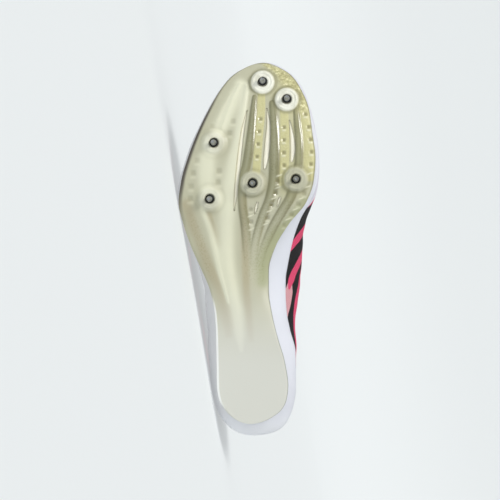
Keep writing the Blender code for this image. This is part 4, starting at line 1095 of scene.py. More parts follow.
def foam_material(looks):
    """Moulded foam: satin skin with a very fine grain and faint darker patches, painted shade on its outer
    side and painted light at the heel's end and in the slots.
    """
    f = Finish("foam", Roughness=0.62, Specular_IOR_Level=0.3)
    where = f.place()
    patches = f.noise(where, 30, 3)
    grain = f.noise(where, 1500, 2)
    shade = tuple(c * 0.93 for c in looks.foam)
    skin = f.mix(patches.step(0.35, 0.8) * 0.6, tuple(looks.foam), shade)
    # Painted shade: the outer side, away from the light, is greyer and less blue.
    skin = f.mix(f.field("outer") * 0.8, skin, srgb(213, 212, 213))
    # Painted light: the heel's end is lightened.
    skin = f.mix(f.field("heel_end"), skin, srgb(238, 239, 243))
    # Painted light: the foam ribs in the slots take the paler slot colour.
    f.use(Base_Color=f.mix(f.field("in_slot"), skin, tuple(looks.slot)))
    f.use(Roughness=0.52 + grain * 0.16)
    f.bump(grain + patches * 0.5, 0.00012)
    return f.material


def bed_layer(outer, inner, columns, rise=0.0):
    """A grid of points over the foam's bed, from an outer edge to an inner one."""
    v = np.linspace(0, 1, columns + 1)[None, :, None]
    plan = outer[:, None] * (1 - v) + inner[:, None] * v
    return points(plan[..., 0], plan[..., 1], bed_height(plan[..., 0], plan[..., 1]) + rise)


def foam_layers(plate_edge, rim_edge):
    """Points of the foam from below: its underside, the loops of its flared wall and its bed."""
    share, x, y, across = across_grid(plate_edge, FOAM_COLUMNS)
    under = points(x, y, plate_base(share, across) + PLATE + GAP).reshape(len(plate_edge.share), -1, 3)
    foot = np.vstack([under[:, 0], under[::-1, -1]])
    rim_x = np.concatenate([rim_edge.x, rim_edge.x[::-1]])
    rim_y = np.concatenate([rim_edge.outer, rim_edge.inner[::-1]])
    rim = points(rim_x, rim_y, bed_height(rim_x, rim_y))
    flare = np.array(((0.0, 0.0), *MIDSOLE_FLARE))
    reach = travelled(flare)
    at = np.linspace(0, reach[-1], FOAM_LAYERS + 1)[1:]
    wall = []
    for out, up in zip(through(reach, flare[:, 0], at), through(reach, flare[:, 1], at)):
        loop = foot + (rim - foot) * out
        loop[:, 2] = foot[:, 2] + (rim[:, 2] - foot[:, 2]) * up
        wall.append(loop)
    return [under.reshape(-1, 3), *wall, bed_layer(*moved_edge(rim_edge, MIDSOLE_LIP), FOAM_COLUMNS)]


def foam_faces(layers, rows):
    """Faces of the foam's underside, wall and bed."""
    columns = FOAM_COLUMNS + 1
    starts = np.cumsum([0] + [len(part) for part in layers]).tolist()
    loops = [rim_numbers(rows, columns, 0)]
    loops += [list(range(start, start + 2 * rows)) for start in starts[1:-2]]
    loops += [rim_numbers(rows, columns, starts[-2])]
    faces = grid_faces(rows, columns)
    for low, high in zip(loops, loops[1:]):
        faces += loop_band(low, high)
    return faces + grid_faces(rows, columns, starts[-2], flip=True)


def make_foam(looks):
    """Foam between plate and upper, flaring out round the arch and heel, with a soft upper edge."""
    edges = [edge_stations(outline, FOAM_STATIONS) for outline in (PLATE_OUTLINE, FOAM_OUTLINE)]
    layers = foam_layers(*edges)
    block = (np.vstack(layers), foam_faces(layers, FOAM_STATIONS + 1))
    body, faces = joined([block, *(slot_rib(rows) for rows in SLOTS)])
    along, over, _ = np.array(body).T
    # Painted light at the heel's end, which the lamps reach little.
    heel_end = 1 - ease(-0.002, 0.024, along)
    fields = {
        "in_slot": np.arange(len(body)) >= len(block[0]),
        # Painted shade on the outer side.
        "outer": (1 - ease(-0.006, 0.004, over)) * (1 - heel_end),
        "heel_end": heel_end,
    }
    foam = new_piece("foam_midsole", body, faces, [foam_material(looks)], fields=fields)
    return finish_piece(foam, "foam", "midsole")


def steel_material(looks):
    """Bright steel with turning marks, painted dark at the seat as the socket's shade."""
    f = Finish("pin_steel", Metallic=1.0)
    where = f.place()
    marks = f.noise(where, 2600, 1)
    # Painted shade: the seat is coloured near black.
    dark = f.field("seat")
    f.use(Base_Color=f.mix(dark * 0.93, tuple(looks.steel), srgb(20, 20, 20)))
    f.use(Roughness=0.26 + marks * 0.15 + dark * 0.3)
    f.bump(marks, 0.00005)
    return f.material


def place_on_plate(boss):
    """Where a boss stands on the plate's underside, and the direction of its spike."""
    def height(x, side):
        outer, inner = outline_at(PLATE_OUTLINE, x / LENGTH)
        return float(plate_base(x / LENGTH, np.asarray(2 * (side - outer) / (inner - outer) - 1)))
    x, y, step = boss.share * LENGTH, boss.across * BALL_WIDTH, PLATE / 4
    lean = (height(x + step, y) - height(x - step, y)) / (2 * step)
    tilt = (height(x, y + step) - height(x, y - step)) / (2 * step)
    axis = Vector((lean * PIN_LEAN_SHARE, tilt * PIN_LEAN_SHARE, -1)).normalized()
    return Vector((x, y, height(x, y))), axis


def pin_profile(boss):
    """Half section of a pin and its seat, from its foot to its point."""
    top = boss.height
    return (
        (0.0, top - SEAT_DEPTH + GAP), (SEAT_RADIUS * 0.96, top - SEAT_DEPTH + GAP),
        (SEAT_RADIUS, top - SEAT_DEPTH + 2 * GAP), (SEAT_RADIUS, top - GAP), (SEAT_RADIUS * 0.93, top),
        (PIN_RADIUS + 0.0003, top + 0.0002), (PIN_RADIUS, top + 0.0007),
        (PIN_RADIUS, top + 0.36 * PIN_LENGTH), (PIN_RADIUS * 0.94, top + 0.42 * PIN_LENGTH),
        (PIN_TIP_RADIUS * 1.15, top + 0.93 * PIN_LENGTH), (PIN_TIP_RADIUS * 0.8, top + 0.99 * PIN_LENGTH),
        (0.0, top + PIN_LENGTH),
    )


def make_pins(looks):
    """Six pins, each turned from its profile and set in its boss."""
    steel = steel_material(looks)
    turns = [2 * math.pi * k / PIN_SIDES for k in range(PIN_SIDES)]
    for place, boss in enumerate(BOSSES, 1):
        origin, axis = place_on_plate(boss)
        across = axis.orthogonal().normalized()
        beside = axis.cross(across)
        profile = pin_profile(boss)
        body, seat = [], []
        for radius, height in profile:
            # Painted shade: the pin's points in its socket and at the socket's mouth are marked dark.
            dark = 1.0 if radius > PIN_RADIUS * 1.01 or height < boss.height else 0.0
            for turn in turns:
                spot = (across * math.cos(turn) + beside * math.sin(turn)) * max(radius, 1e-7)
                body.append(tuple(origin + axis * height + spot))
                seat.append(dark)
        faces = tube_faces(len(profile), PIN_SIDES)
        pin = new_piece(f"pin_{place}", body, faces, [steel], fields={"seat": seat})
        pin.data.set_sharp_from_angle(angle=math.radians(40))
        finish_piece(pin, "pin_steel", f"spike_{place}")


def wall_curve(knots, at):
    """Smooth curve through the points of a wall's section, from its foot to the topline."""
    knots = np.asarray(knots)
    reach = travelled(knots)
    at = np.asarray(at) * reach[-1]
    return np.stack([through(reach, knots[:, axis], at) for axis in range(3)], axis=-1)


def upper_value(name, share, size=None):
    """A column of the upper's table at any place along it."""
    values = sized(UPPER_ROWS, name) if size is None else column(UPPER_ROWS, name) * size
    return through(column(UPPER_ROWS, "share"), values, share)


def upper_sections(edge, at):
    """Points of the upper's outside on its sides: side, station along the edge, place up the wall."""
    share = np.clip(edge.share, 0, 1)
    feet = moved_edge(edge, upper_value("inset", share, BALL_WIDTH))
    normals = plan_normals(edge)
    opening = np.sqrt(1 - (1 - np.clip((THROAT_FRONT - share) / THROAT_ROUNDING, 0, 1)) ** 2)
    ridge = (upper_value("top_outer", share, BALL_WIDTH) + upper_value("top_inner", share, BALL_WIDTH)) / 2
    top_x = upper_value("top_share", share, LENGTH)
    top_z = upper_value("top_height", share)
    names = ("swell_up", "mid_in", "mid_up", "high_in", "high_up")
    shape = {name: upper_value(name, share, 1) for name in names}
    sides = []
    for side, foot, normal in (("outer", feet[0], normals[0]), ("inner", feet[1], normals[1])):
        swell = upper_value("swell_" + side, share, BALL_WIDTH)
        top_y = ridge + (upper_value("top_" + side, share, BALL_WIDTH) - ridge) * opening
        foot_z = bed_height(foot[:, 0], foot[:, 1]) + SEAT_GAP
        rows = []
        for i in range(len(share)):
            low = np.array([*foot[i], foot_z[i]])
            top = np.array([top_x[i], top_y[i], top_z[i]])
            wide = low + np.array([*normal[i], 0]) * swell[i]
            mid = wide + (top - wide) * shape["mid_in"][i]
            high = wide + (top - wide) * shape["high_in"][i]
            for knot, up in ((wide, "swell_up"), (mid, "mid_up"), (high, "high_up")):
                knot[2] = low[2] + (top[2] - low[2]) * shape[up][i]
            rows.append(wall_curve([low, wide, mid, high, top], at))
        sides.append(rows)
    return np.array(sides)


# Soft creases of the upper: share along, place up the wall, half lengths, depth in mm
Crease = namedtuple("Crease", "share up half_along half_up lean depth")
CREASES = (
    Crease(0.735, 0.86, 0.010, 0.26, 0.10, 0.7), Crease(0.775, 0.88, 0.011, 0.24, 0.08, 0.6),
    Crease(0.700, 0.55, 0.012, 0.20, 0.12, 0.5), Crease(0.815, 0.90, 0.010, 0.20, 0.05, 0.4),
    Crease(0.300, 0.68, 0.014, 0.16, -0.06, 0.5), Crease(0.345, 0.66, 0.012, 0.16, -0.08, 0.4),
    Crease(0.165, 0.62, 0.012, 0.22, 0.05, 0.45), Crease(0.560, 0.45, 0.014, 0.25, 0.08, 0.4),
)


def toe_overlay(share, up):
    """Where the toe's overlay lies, below a line that climbs to the front."""
    toe_line = 0.30 + 0.9 * (share - 0.90)
    return ease(-0.010, 0.010, toe_line - up) * ease(0.80, 0.84, share)


def film_share(share, up):
    """Where the upper is smooth film: on the eyestays and the toe's overlay."""
    stay = ease(EYESTAY_END - 0.002, EYESTAY_END + 0.002, share)
    stay = stay * (1 - ease(THROAT_FRONT, THROAT_FRONT + 0.008, share)) * ease(0.800, 0.815, up)
    return np.maximum(stay, toe_overlay(share, up))


def upper_relief(share, up):
    """Steps, rolls and creases of the upper, as a height along its outward direction."""
    in_eyestay = ease(EYESTAY_END - 0.004, EYESTAY_END + 0.004, share)
    in_eyestay = in_eyestay * (1 - ease(THROAT_FRONT - 0.002, THROAT_FRONT + 0.010, share))
    relief = OVERLAY_STEP * in_eyestay * ease(EYESTAY_LINE - 0.008, EYESTAY_LINE + 0.008, up)
    counter_line = 0.62 - 2.6 * np.clip(share, 0, 1)
    relief += 0.0004 * ease(-0.010, 0.010, counter_line - up + 0.02)
    relief += 0.0004 * toe_overlay(share, up)
    relief += 0.0012 * np.exp(-((up - 0.965) / 0.035) ** 2) * (1 - ease(0.36, 0.42, share))
    for crease in CREASES:
        along = (share - crease.share - crease.lean * (up - crease.up)) / crease.half_along
        fade = ((up - crease.up) / crease.half_up) ** 4
        form = np.exp(-along ** 2 - fade)
        bank = np.exp(-(np.abs(along) - 1.8) ** 2 - fade)
        relief += crease.depth * 0.001 * (0.4 * bank - form)
    return relief


def knit_height(f, along, up, pitch):
    """Height of an open knit: rows of small holes, each row half a step along."""
    row = (up / (pitch * 0.87)).whole()
    shifted = along / pitch + row * 0.5
    dx = shifted.part() - 0.5
    dy = (up / (pitch * 0.87)).part() - 0.5
    return (dx * dx + dy * dy).step(0.02, 0.16)


def streak_fields(along, up, side):
    """How far each point is from the edge of the nearest bright and the nearest pale streak, in metres."""
    tables = ((OUTER_HOT, OUTER_PALE), (INNER_HOT, INNER_PALE))[side]
    near = [np.min([stroke_gap(rows, along, up) for rows in table], axis=0) for table in tables]
    return np.clip(near, -0.01, 0.01)


def guard_reach(along, up, side):
    """How far below its edge each point of the pale film lies, in metres: the film at the upper's foot."""
    rows = GUARD[side]
    reach = through([row.along / 1000 for row in rows], [row.up / 1000 for row in rows], along)
    return np.clip(reach - up, -0.01, 0.01)


def upper_material(looks):
    """Black knit with pink streaks; the eyestay and other overlays are smooth film."""
    f = Finish("upper_knit", Specular_IOR_Level=0.18, Sheen_Weight=0.06, Sheen_Roughness=0.5)
    along, up = f.uv()
    knit = knit_height(f, along, up, looks.knit)
    fray = f.noise(f.vector(along * 900, up * 260, 0.0), 1.0, 1) * 0.0005
    hot, pale = (1 - (f.field(name) + fray).step(0.0, 0.0005) for name in ("hot", "pale"))
    ground = f.mix(f.noise(f.place(), 60, 3).step(0.3, 0.75) * 0.5, tuple(looks.black), srgb(34, 33, 35))
    film = f.field("film")
    colour = f.mix(pale * (1 - film * 0.6), ground, tuple(looks.pale))
    colour = f.mix(hot * (1 - film * 0.6), colour, tuple(looks.hot))
    guard = f.field("guard").step(-0.0002, 0.0002)
    holes = (1 - knit) * (1 - film) * (1 - guard)
    colour = f.mix(holes * 0.45, colour, srgb(12, 11, 12))
    colour = f.mix(guard, colour, tuple(looks.guard))
    f.use(Base_Color=colour, Roughness=0.78 - film * 0.38)
    thread = f.noise(f.vector(along * 2600, up * 700, 0.0), 1.0, 1)
    f.bump(knit * (1 - film) + thread * 0.25, 0.00028)
    return f.material


def grain_material(name, scale, detail, share, ground, light, depth, **constants):
    """Cloth or thread whose colour and relief follow one fine noise."""
    f = Finish(name, **constants)
    grain = f.noise(f.place(), scale, detail)
    f.use(Base_Color=f.mix(grain * share, ground, light))
    f.bump(grain, depth)
    return f.material


def cloth_materials(outside, looks):
    """Outside, brushed lining and narrow woven binding of a walled sheet."""
    lining = grain_material("lining", 700, 3, 0.5, tuple(looks.lining), srgb(60, 58, 62), 0.0003,
                            Roughness=0.9, Sheen_Weight=0.25, Specular_IOR_Level=0.15)
    binding = grain_material("binding", 1800, 1, 0.5, srgb(24, 23, 25), srgb(46, 45, 48), 0.0002,
                             Roughness=0.8, Specular_IOR_Level=0.2)
    return [outside, lining, binding]


def point_out(obj):
    """Turn a sheet's faces so that they look away from the middle of the shoe."""
    middle = in_place(((0.5 * LENGTH, 0.0, 0.4 * HEEL_HEIGHT),))[0]
    total = 0.0
    for face in obj.data.polygons:
        total += face.area * face.normal.dot(face.center - Vector(middle))
    if total < 0:
        obj.data.flip_normals()


def add_wall(obj, thickness, lining=0):
    """Give a sheet its wall, inwards from its outer face."""
    wall = obj.modifiers.new("wall", "SOLIDIFY")
    wall.thickness = thickness
    wall.offset = -1
    wall.use_even_offset = True
    wall.material_offset = lining
    wall.material_offset_rim = 2 * lining


def make_upper(looks):
    """Hollow upper from the foam's rim to the collar, throat and toe ridge."""
    edge = edge_stations(FOAM_OUTLINE, UPPER_STATIONS)
    sides = upper_sections(edge, WALL_PLACES)
    share, up = np.meshgrid(edge.share, WALL_PLACES, indexing="ij")
    relief = upper_relief(share, up)
    uv, fields = [], {name: [] for name in ("film", "guard", "hot", "pale")}
    for side, facing in ((0, 1), (1, -1)):
        grid = sides[side]
        climb = np.array([travelled(row) for row in grid])
        uv.append(np.stack([share * LENGTH + side * 0.0135, climb + side * 0.35], axis=-1).reshape(-1, 2))
        film, guard = film_share(share, up), guard_reach(grid[..., 0], climb, side)
        for name, values in zip(fields, (film, guard, *streak_fields(grid[..., 0], climb, side))):
            fields[name].append(values)
        sides[side] = grid + surface_normals(grid) * facing * relief[..., None]
    rows, columns = share.shape
    faces = grid_faces(rows, columns) + grid_faces(rows, columns, rows * columns, flip=True)
    materials = cloth_materials(upper_material(looks), looks)
    upper = new_piece("knit_upper", sides.reshape(-1, 3), faces, materials, np.vstack(uv), fields)
    point_out(upper)
    add_wall(upper, UPPER_WALL, 1)
    return finish_piece(upper, "upper_fabric", "upper")


def throat_bridge(edge, at):
    """Sections from one side's wall over the open throat to the other, with a crown in the middle."""
    left, right = upper_sections(edge, at)[:, 1:-1]
    gap = np.linalg.norm(left[:, -1] - right[:, -1], axis=-1, keepdims=True)
    crown = (left[:, -1] + right[:, -1]) / 2 + np.array([0, 0, THROAT_CROWN]) * gap
    quarter_left = left[:, -1] * 0.5 + crown * 0.5 + np.array([0, 0, THROAT_CROWN / 4]) * gap
    quarter_right = right[:, -1] * 0.5 + crown * 0.5 + np.array([0, 0, THROAT_CROWN / 4]) * gap
    middle = np.stack([quarter_left, crown, quarter_right], axis=1)
    return np.concatenate([left, middle, right[:, ::-1]], axis=1)


def throat_edge(front, back, count):
    """Stations along the foam's rim between two places, with one more at each end for its direction."""
    step = (front - back) / (count - 1)
    share = np.linspace(back - step, front + step, count + 2)
    outer, inner = outline_at(FOAM_OUTLINE, share)
    return Edge(share, share * LENGTH, outer, inner)


def make_tongue(looks):
    """Thin padded tongue with sewn channels, from under the vamp to a lip above the throat."""
    count, columns = TONGUE_STATIONS, TONGUE_COLUMNS
    edge = throat_edge(TONGUE_FRONT, TONGUE_TOP, 14)
    rows = evenly(throat_bridge(edge, TONGUE_ROWS), columns)
    rows = rows - surface_normals(rows) * (UPPER_WALL + TONGUE_GAP)
    narrow = np.linspace(TONGUE_TOP_WIDTH, 1, len(rows))[:, None, None] ** 2
    middle = rows[:, columns // 2, None]
    rows = middle + (rows - middle) * narrow
    lean = rows[0] - rows[1]
    lean = lean.mean(axis=0) / np.linalg.norm(lean.mean(axis=0))
    rows = np.concatenate([[rows[0] + lean * TONGUE_LIP * k / 5 for k in range(5, 0, -1)], rows])
    rows = evenly(rows.transpose(1, 0, 2), count).transpose(1, 0, 2)
    along, over = np.linspace(0, 0.10, count), np.linspace(0, 0.05, columns)
    uv = np.stack(np.meshgrid(along, over, indexing="ij"), axis=-1)
    tongue = new_piece("padded_tongue", rows.reshape(-1, 3), grid_faces(count, columns),
                       cloth_materials(tongue_material(looks), looks), uv.reshape(-1, 2))
    point_out(tongue)
    add_wall(tongue, TONGUE_THICKNESS, 1)
    round_off = tongue.modifiers.new("round", "SUBSURF")
    round_off.levels = round_off.render_levels = 1
    finish_piece(tongue, "tongue_fabric", "tongue")


def tongue_material(looks):
    """Black spacer cloth with sewn channels across it."""
    f = Finish("tongue_cloth", Roughness=0.85, Specular_IOR_Level=0.2, Sheen_Weight=0.15)
    along, up = f.uv()
    channel = abs((along / 0.0065).part() - 0.5).step(0.40, 0.5)
    knit = knit_height(f, along, up, 0.0016)
    f.use(Base_Color=f.mix(channel * 0.7, tuple(looks.black), srgb(14, 13, 15)))
    f.bump(knit * 0.3 - channel * 1.2, 0.0006)
    return f.material


def insole_material(looks):
    """Thin brushed insole cloth."""
    f = Finish("insole_cloth", Roughness=0.92, Specular_IOR_Level=0.15, Sheen_Weight=0.2)
    where = f.place()
    fuzz = f.noise(where, 1100, 2)
    worn = f.noise(where, 28, 2)
    f.use(Base_Color=f.mix(worn.step(0.3, 0.8) * 0.6 + fuzz * 0.3, srgb(34, 33, 36), srgb(58, 56, 60)))
    f.bump(fuzz, 0.00025)
    return f.material


def make_insole(looks):
    """Insole on the foam, just inside the upper's wall, with a soft rounded edge."""
    edge = edge_stations(FOAM_OUTLINE, INSOLE_STATIONS)
    inset = upper_value("inset", np.clip(edge.share, 0, 1), BALL_WIDTH) + UPPER_WALL + INSOLE_CLEARANCE
    layers = []
    for more, rise in ((0.0004, GAP), (0.0, GAP + 0.0006), (0.0, INSOLE_THICKNESS - 0.0004),
                       (0.0006, INSOLE_THICKNESS + GAP)):
        layers.append(bed_layer(*moved_edge(edge, inset + more), INSOLE_COLUMNS, rise))
    rows, columns, size = len(edge.share), INSOLE_COLUMNS + 1, len(layers[0])
    faces = grid_faces(rows, columns) + grid_faces(rows, columns, 3 * size, flip=True)
    rims = [rim_numbers(rows, columns, k * size) for k in range(4)]
    for low, high in zip(rims, rims[1:]):
        faces += loop_band(low, high)
    insole = new_piece("cloth_insole", np.vstack(layers), faces, [insole_material(looks)])
    with edited(insole.data) as form:
        bmesh.ops.delete(form, geom=[v for v in form.verts if not v.link_faces], context="VERTS")
    finish_piece(insole, "insole_fabric", "insole")


def eyelet_rows(stations):
    """Points and outward directions from each outer eyelet over the throat to its inner one."""
    edge = throat_edge(EYELET_FRONT, EYELET_TOP, EYELET_PAIRS)
    rows = evenly(throat_bridge(edge, (EYELET_ROW, 0.96, 1.0)), stations)
    return rows, surface_normals(rows)


def lace_material(looks):
    """Flat woven lace with a fine slanting weave."""
    f = Finish("lace_weave", Roughness=0.8, Specular_IOR_Level=0.2, Sheen_Weight=0.1)
    along, up = f.uv()
    weave = (along * 4200 + up * 2400).wave() * 0.5 + 0.5
    cross = (along * 4200 - up * 2400).wave() * 0.5 + 0.5
    f.use(Base_Color=f.mix(weave * cross, tuple(looks.lace), srgb(62, 60, 64)))
    f.bump(weave * cross, 0.0003)
    return f.material


def lace_bar(path, normals, lift):
    """A flat, round-edged lace along a path, dipping into its eyelets at both ends."""
    along = np.gradient(path, axis=0)
    along /= np.linalg.norm(along, axis=-1, keepdims=True)
    side = np.cross(normals, along)
    side /= np.linalg.norm(side, axis=-1, keepdims=True)
    reach = travelled(path)
    end = np.minimum(reach, reach[-1] - reach)
    rise = OVERLAY_STEP - 0.0004 + (lift - OVERLAY_STEP + 0.0004) * ease(0, 0.0034, end)
    pinch = 0.62 + 0.38 * ease(0, 0.0045, end)
    angles = np.linspace(0, 2 * math.pi, LACE_SIDES + 1)[:-1]
    ring = []
    for angle in angles:
        out = math.copysign(abs(math.cos(angle)) ** 0.7, math.cos(angle)) * LACE_WIDTH / 2
        high = (math.copysign(abs(math.sin(angle)) ** 0.8, math.sin(angle)) + 1) * LACE_THICKNESS / 2
        ring.append(path + side * (out * pinch)[:, None] + normals * (rise + high)[:, None])
    grid = np.stack(ring, axis=1)
    faces = tube_faces(len(path), LACE_SIDES, capped=True)
    uv = np.stack(np.meshgrid(reach, np.cos(angles) * LACE_WIDTH / 2, indexing="ij"), axis=-1)
    return grid.reshape(-1, 3), faces, uv.reshape(-1, 2)


def make_lace(looks):
    """The lace's crossings over the tongue, through the eyelets; its ends stop at the top pair."""
    rows, normals = eyelet_rows(LACE_STATIONS)
    bars = []
    for first, second, lift in (
            *((k, k + 1, LACE_LIFT) for k in range(EYELET_PAIRS - 1)),
            *((k + 1, k, LACE_LIFT + LACE_OVERLAP) for k in range(EYELET_PAIRS - 1)),
            (EYELET_PAIRS - 1, EYELET_PAIRS - 1, LACE_LIFT + 0.6 * LACE_OVERLAP)):
        t = np.linspace(0, 1, LACE_STATIONS)[:, None]
        up = normals[first] * (1 - t) + normals[second] * t
        up /= np.linalg.norm(up, axis=-1, keepdims=True)
        over = 0.0006 * np.exp(-((t[:, 0] - 0.5) / 0.10) ** 2) * (1 if first > second else 0)
        bars.append(lace_bar(rows[first] * (1 - t) + rows[second] * t, up, lift + over))
    body, faces = joined([(body, faces) for body, faces, _ in bars])
    lace = new_piece("flat_lace", body, faces, [lace_material(looks)], np.vstack([uv for _, _, uv in bars]))
    return finish_piece(lace, "lace_fabric", "lace")


class Tree:
    """A Geometry Nodes tree with named inputs, and short ways to add nodes to it."""

    def __init__(self, name, sizes, material):
        self.group = bpy.data.node_groups.new(name, "GeometryNodeTree")
        face = self.group.interface
        face.new_socket("Geometry", in_out="INPUT", socket_type="NodeSocketGeometry")
        face.new_socket("Geometry", in_out="OUTPUT", socket_type="NodeSocketGeometry")
        self.names = {}
        for label in sizes:
            socket = face.new_socket(label, in_out="INPUT", socket_type="NodeSocketFloat")
            self.names[label] = socket.identifier
        self.sizes = sizes
        self.material = material
        self.start = self.group.nodes.new("NodeGroupInput")
        self.end = self.group.nodes.new("NodeGroupOutput")

    def add(self, kind, settings=None, values=None):
        """Add a node: its settings first, then values or links for its sockets."""
        node = self.group.nodes.new(kind)
        for name, value in (settings or {}).items():
            setattr(node, name, value)
        for socket, value in (values or {}).items():
            if isinstance(value, bpy.types.NodeSocket):
                self.group.links.new(value, node.inputs[socket])
            else:
                node.inputs[socket].default_value = value
        return node

    def size(self, label):
        return self.start.outputs[label]

    def close(self, geometry):
        """End the tree with real geometry and its material."""
        real = self.add("GeometryNodeRealizeInstances", None, {0: geometry})
        smooth = self.add("GeometryNodeSetShadeSmooth", None, {0: real.outputs[0]})
        painted = self.add("GeometryNodeSetMaterial", None, {"Geometry": smooth.outputs[0]})
        painted.inputs["Material"].default_value = self.material
        self.group.links.new(painted.outputs[0], self.end.inputs[0])

    def run(self, obj):
        """Run the tree on an object and keep the result as a plain mesh."""
        step = obj.modifiers.new(self.group.name, "NODES")
        step.node_group = self.group
        for label, value in self.sizes.items():
            step[self.names[label]] = value
        settle(obj)
        if not obj.data.materials:
            obj.data.materials.append(self.material)
        return obj


def guide(name, where, edges, facing):
    """Points, or lines of points, that a tree puts copies on; facing is their outward direction."""
    mesh = bpy.data.meshes.new(name)
    mesh.from_pydata(in_place(where).tolist(), edges, [])
    layer = mesh.attributes.new("facing", "FLOAT_VECTOR", "POINT")
    layer.data.foreach_set("vector", (np.asarray(facing) @ LAID.T).astype(np.float32).reshape(-1))
    return add_object(name, mesh)


def ring_material():
    """Dark coated metal of the eyelets."""
    f = Finish("eyelet_ring", Metallic=0.9)
    marks = f.noise(f.place(), 1500, 2)
    f.use(Base_Color=f.mix(marks, srgb(40, 40, 43), srgb(70, 70, 74)), Roughness=0.3 + marks * 0.2)
    f.bump(marks, 0.00004)
    return f.material


def eyelet_tree(looks):
    """Rings on points, each turned to its point's outward direction."""
    tree = Tree("eyelet rings", {"Ring radius": looks.eyelet, "Wire radius": 0.00055}, ring_material())
    facing = tree.add("GeometryNodeInputNamedAttribute", {"data_type": "FLOAT_VECTOR"}, {"Name": "facing"})
    turn = tree.add("FunctionNodeAlignRotationToVector", {"axis": "Z"}, {"Vector": facing.outputs[0]})
    circle, wire = (
        tree.add("GeometryNodeCurvePrimitiveCircle", None, {"Resolution": sides, "Radius": tree.size(label)})
        for label, sides in (("Ring radius", 28), ("Wire radius", 10)))
    ring = tree.add("GeometryNodeCurveToMesh", None, {
        "Curve": circle.outputs[0], "Profile Curve": wire.outputs[0]})
    dots = tree.add("GeometryNodeMeshToPoints", None, {"Mesh": tree.start.outputs[0]})
    copies = tree.add("GeometryNodeInstanceOnPoints", None, {
        "Points": dots.outputs[0], "Instance": ring.outputs[0], "Rotation": turn.outputs[0]})
    tree.close(copies.outputs[0])
    return tree


def make_eyelets(looks):
    """Twelve eyelet rings on the eyestays."""
    rows, normals = eyelet_rows(9)
    where = np.concatenate([rows[:, 0] + normals[:, 0] * (OVERLAY_STEP + 0.0002),
                            rows[:, -1] + normals[:, -1] * (OVERLAY_STEP + 0.0002)])
    rings = guide("eyelet_rings", where, [], np.concatenate([normals[:, 0], normals[:, -1]]))
    eyelet_tree(looks).run(rings)
    return finish_piece(rings, "upper_fabric")


def thread_material():
    """Sewing thread."""
    return grain_material("thread", 2500, 1, 1.0, srgb(52, 50, 54), srgb(88, 85, 90), 0.0001,
                          Roughness=0.7, Specular_IOR_Level=0.3)


def stitch_tree(looks):
    """Stitches along lines, each lying along its line."""
    sizes = {"Stitch pitch": looks.stitch, "Thread radius": 0.00028, "Stitch length": 0.00095}
    tree = Tree("stitches", sizes, thread_material())
    lines = tree.add("GeometryNodeMeshToCurve", None, {"Mesh": tree.start.outputs[0]})
    spots = tree.add("GeometryNodeCurveToPoints", {"mode": "LENGTH"}, {
        "Curve": lines.outputs[0], "Length": tree.size("Stitch pitch")})
    turn = tree.add("FunctionNodeAlignRotationToVector", {"axis": "X"}, {"Vector": spots.outputs["Tangent"]})
    ball = tree.add("GeometryNodeMeshUVSphere", None, {"Segments": 8, "Rings": 6, "Radius": 1.0})
    long, thick = tree.size("Stitch length"), tree.size("Thread radius")
    scale = tree.add("ShaderNodeCombineXYZ", None, {0: long, 1: thick, 2: thick})
    copies = tree.add("GeometryNodeInstanceOnPoints", None, {
        "Points": spots.outputs["Points"], "Instance": ball.outputs[0], "Rotation": turn.outputs[0],
        "Scale": scale.outputs[0]})
    tree.close(copies.outputs[0])
    return tree


def seam_lines():
    """Lines of stitching on the upper: below the collar and along the eyestays."""
    edge = edge_stations(FOAM_OUTLINE, UPPER_STATIONS)
    share = edge.share
    collar = share < 0.40
    stay = (EYESTAY_END + 0.004 < share) & (share < THROAT_FRONT - 0.004)
    lines = []
    for up, part in ((0.925, collar), (0.830, stay)):
        sides = upper_sections(edge, (up - 0.01, up, up + 0.01))
        lift = upper_relief(share, np.full_like(share, up)) + 0.0001
        for side, facing in ((0, 1), (1, -1)):
            normal = surface_normals(sides[side])[:, 1] * facing
            path = sides[side][:, 1] + normal * lift[:, None]
            lines.append((path[part], normal[part]))
    return lines


def make_stitches(looks):
    """Rows of stitches on the upper."""
    where, edges, facing = [], [], []
    for path, normal in seam_lines():
        start = len(where)
        where += path.tolist()
        facing += normal.tolist()
        edges += [(start + k, start + k + 1) for k in range(len(path) - 1)]
    stitches = guide("upper_stitches", np.array(where), edges, np.array(facing))
    stitch_tree(looks).run(stitches)
    return finish_piece(stitches, "upper_fabric")


def soft_light(name, toward, spread, strength, colour):
    """A wide, far light that comes from one direction, even all over the floor."""
    lamp = bpy.data.lights.new(name, "SUN")
    lamp.angle = spread
    lamp.energy = strength
    lamp.color = colour
    obj = add_object(name, lamp)
    obj.location = toward.normalized() * 2
    obj.rotation_mode = "QUATERNION"
    obj.rotation_quaternion = toward.to_track_quat("Z", "Y")


def picture_axes(looks):
    """Point in the picture's middle, and the picture's right, up and back directions."""
    turn = Matrix(LAID.tolist())
    right_flat, up, back_flat = (turn @ Vector(axis) for axis in ((0, 1, 0), (1, 0, 0), (0, 0, -1)))
    back = back_flat * math.cos(looks.tilt) + right_flat * math.sin(looks.tilt)
    middle = Vector(in_place(((looks.middle, 0.0, HEEL_LIFT),))[0])
    return middle, up.cross(back), up, back


def make_camera(looks):
    """Camera square to the sole, a little to the inner side, as in the picture."""
    middle, right, up, back = picture_axes(looks)
    distance = looks.picture / 2 / math.tan(looks.view / 2)
    data = bpy.data.cameras.new("camera")
    data.angle = looks.view
    data.clip_end = 50
    camera = add_object("camera", data)
    camera.matrix_world = Matrix.Translation(middle + back * distance) @ Matrix(
        (right, up, back)).transposed().to_4x4()
    bpy.context.scene.camera = camera


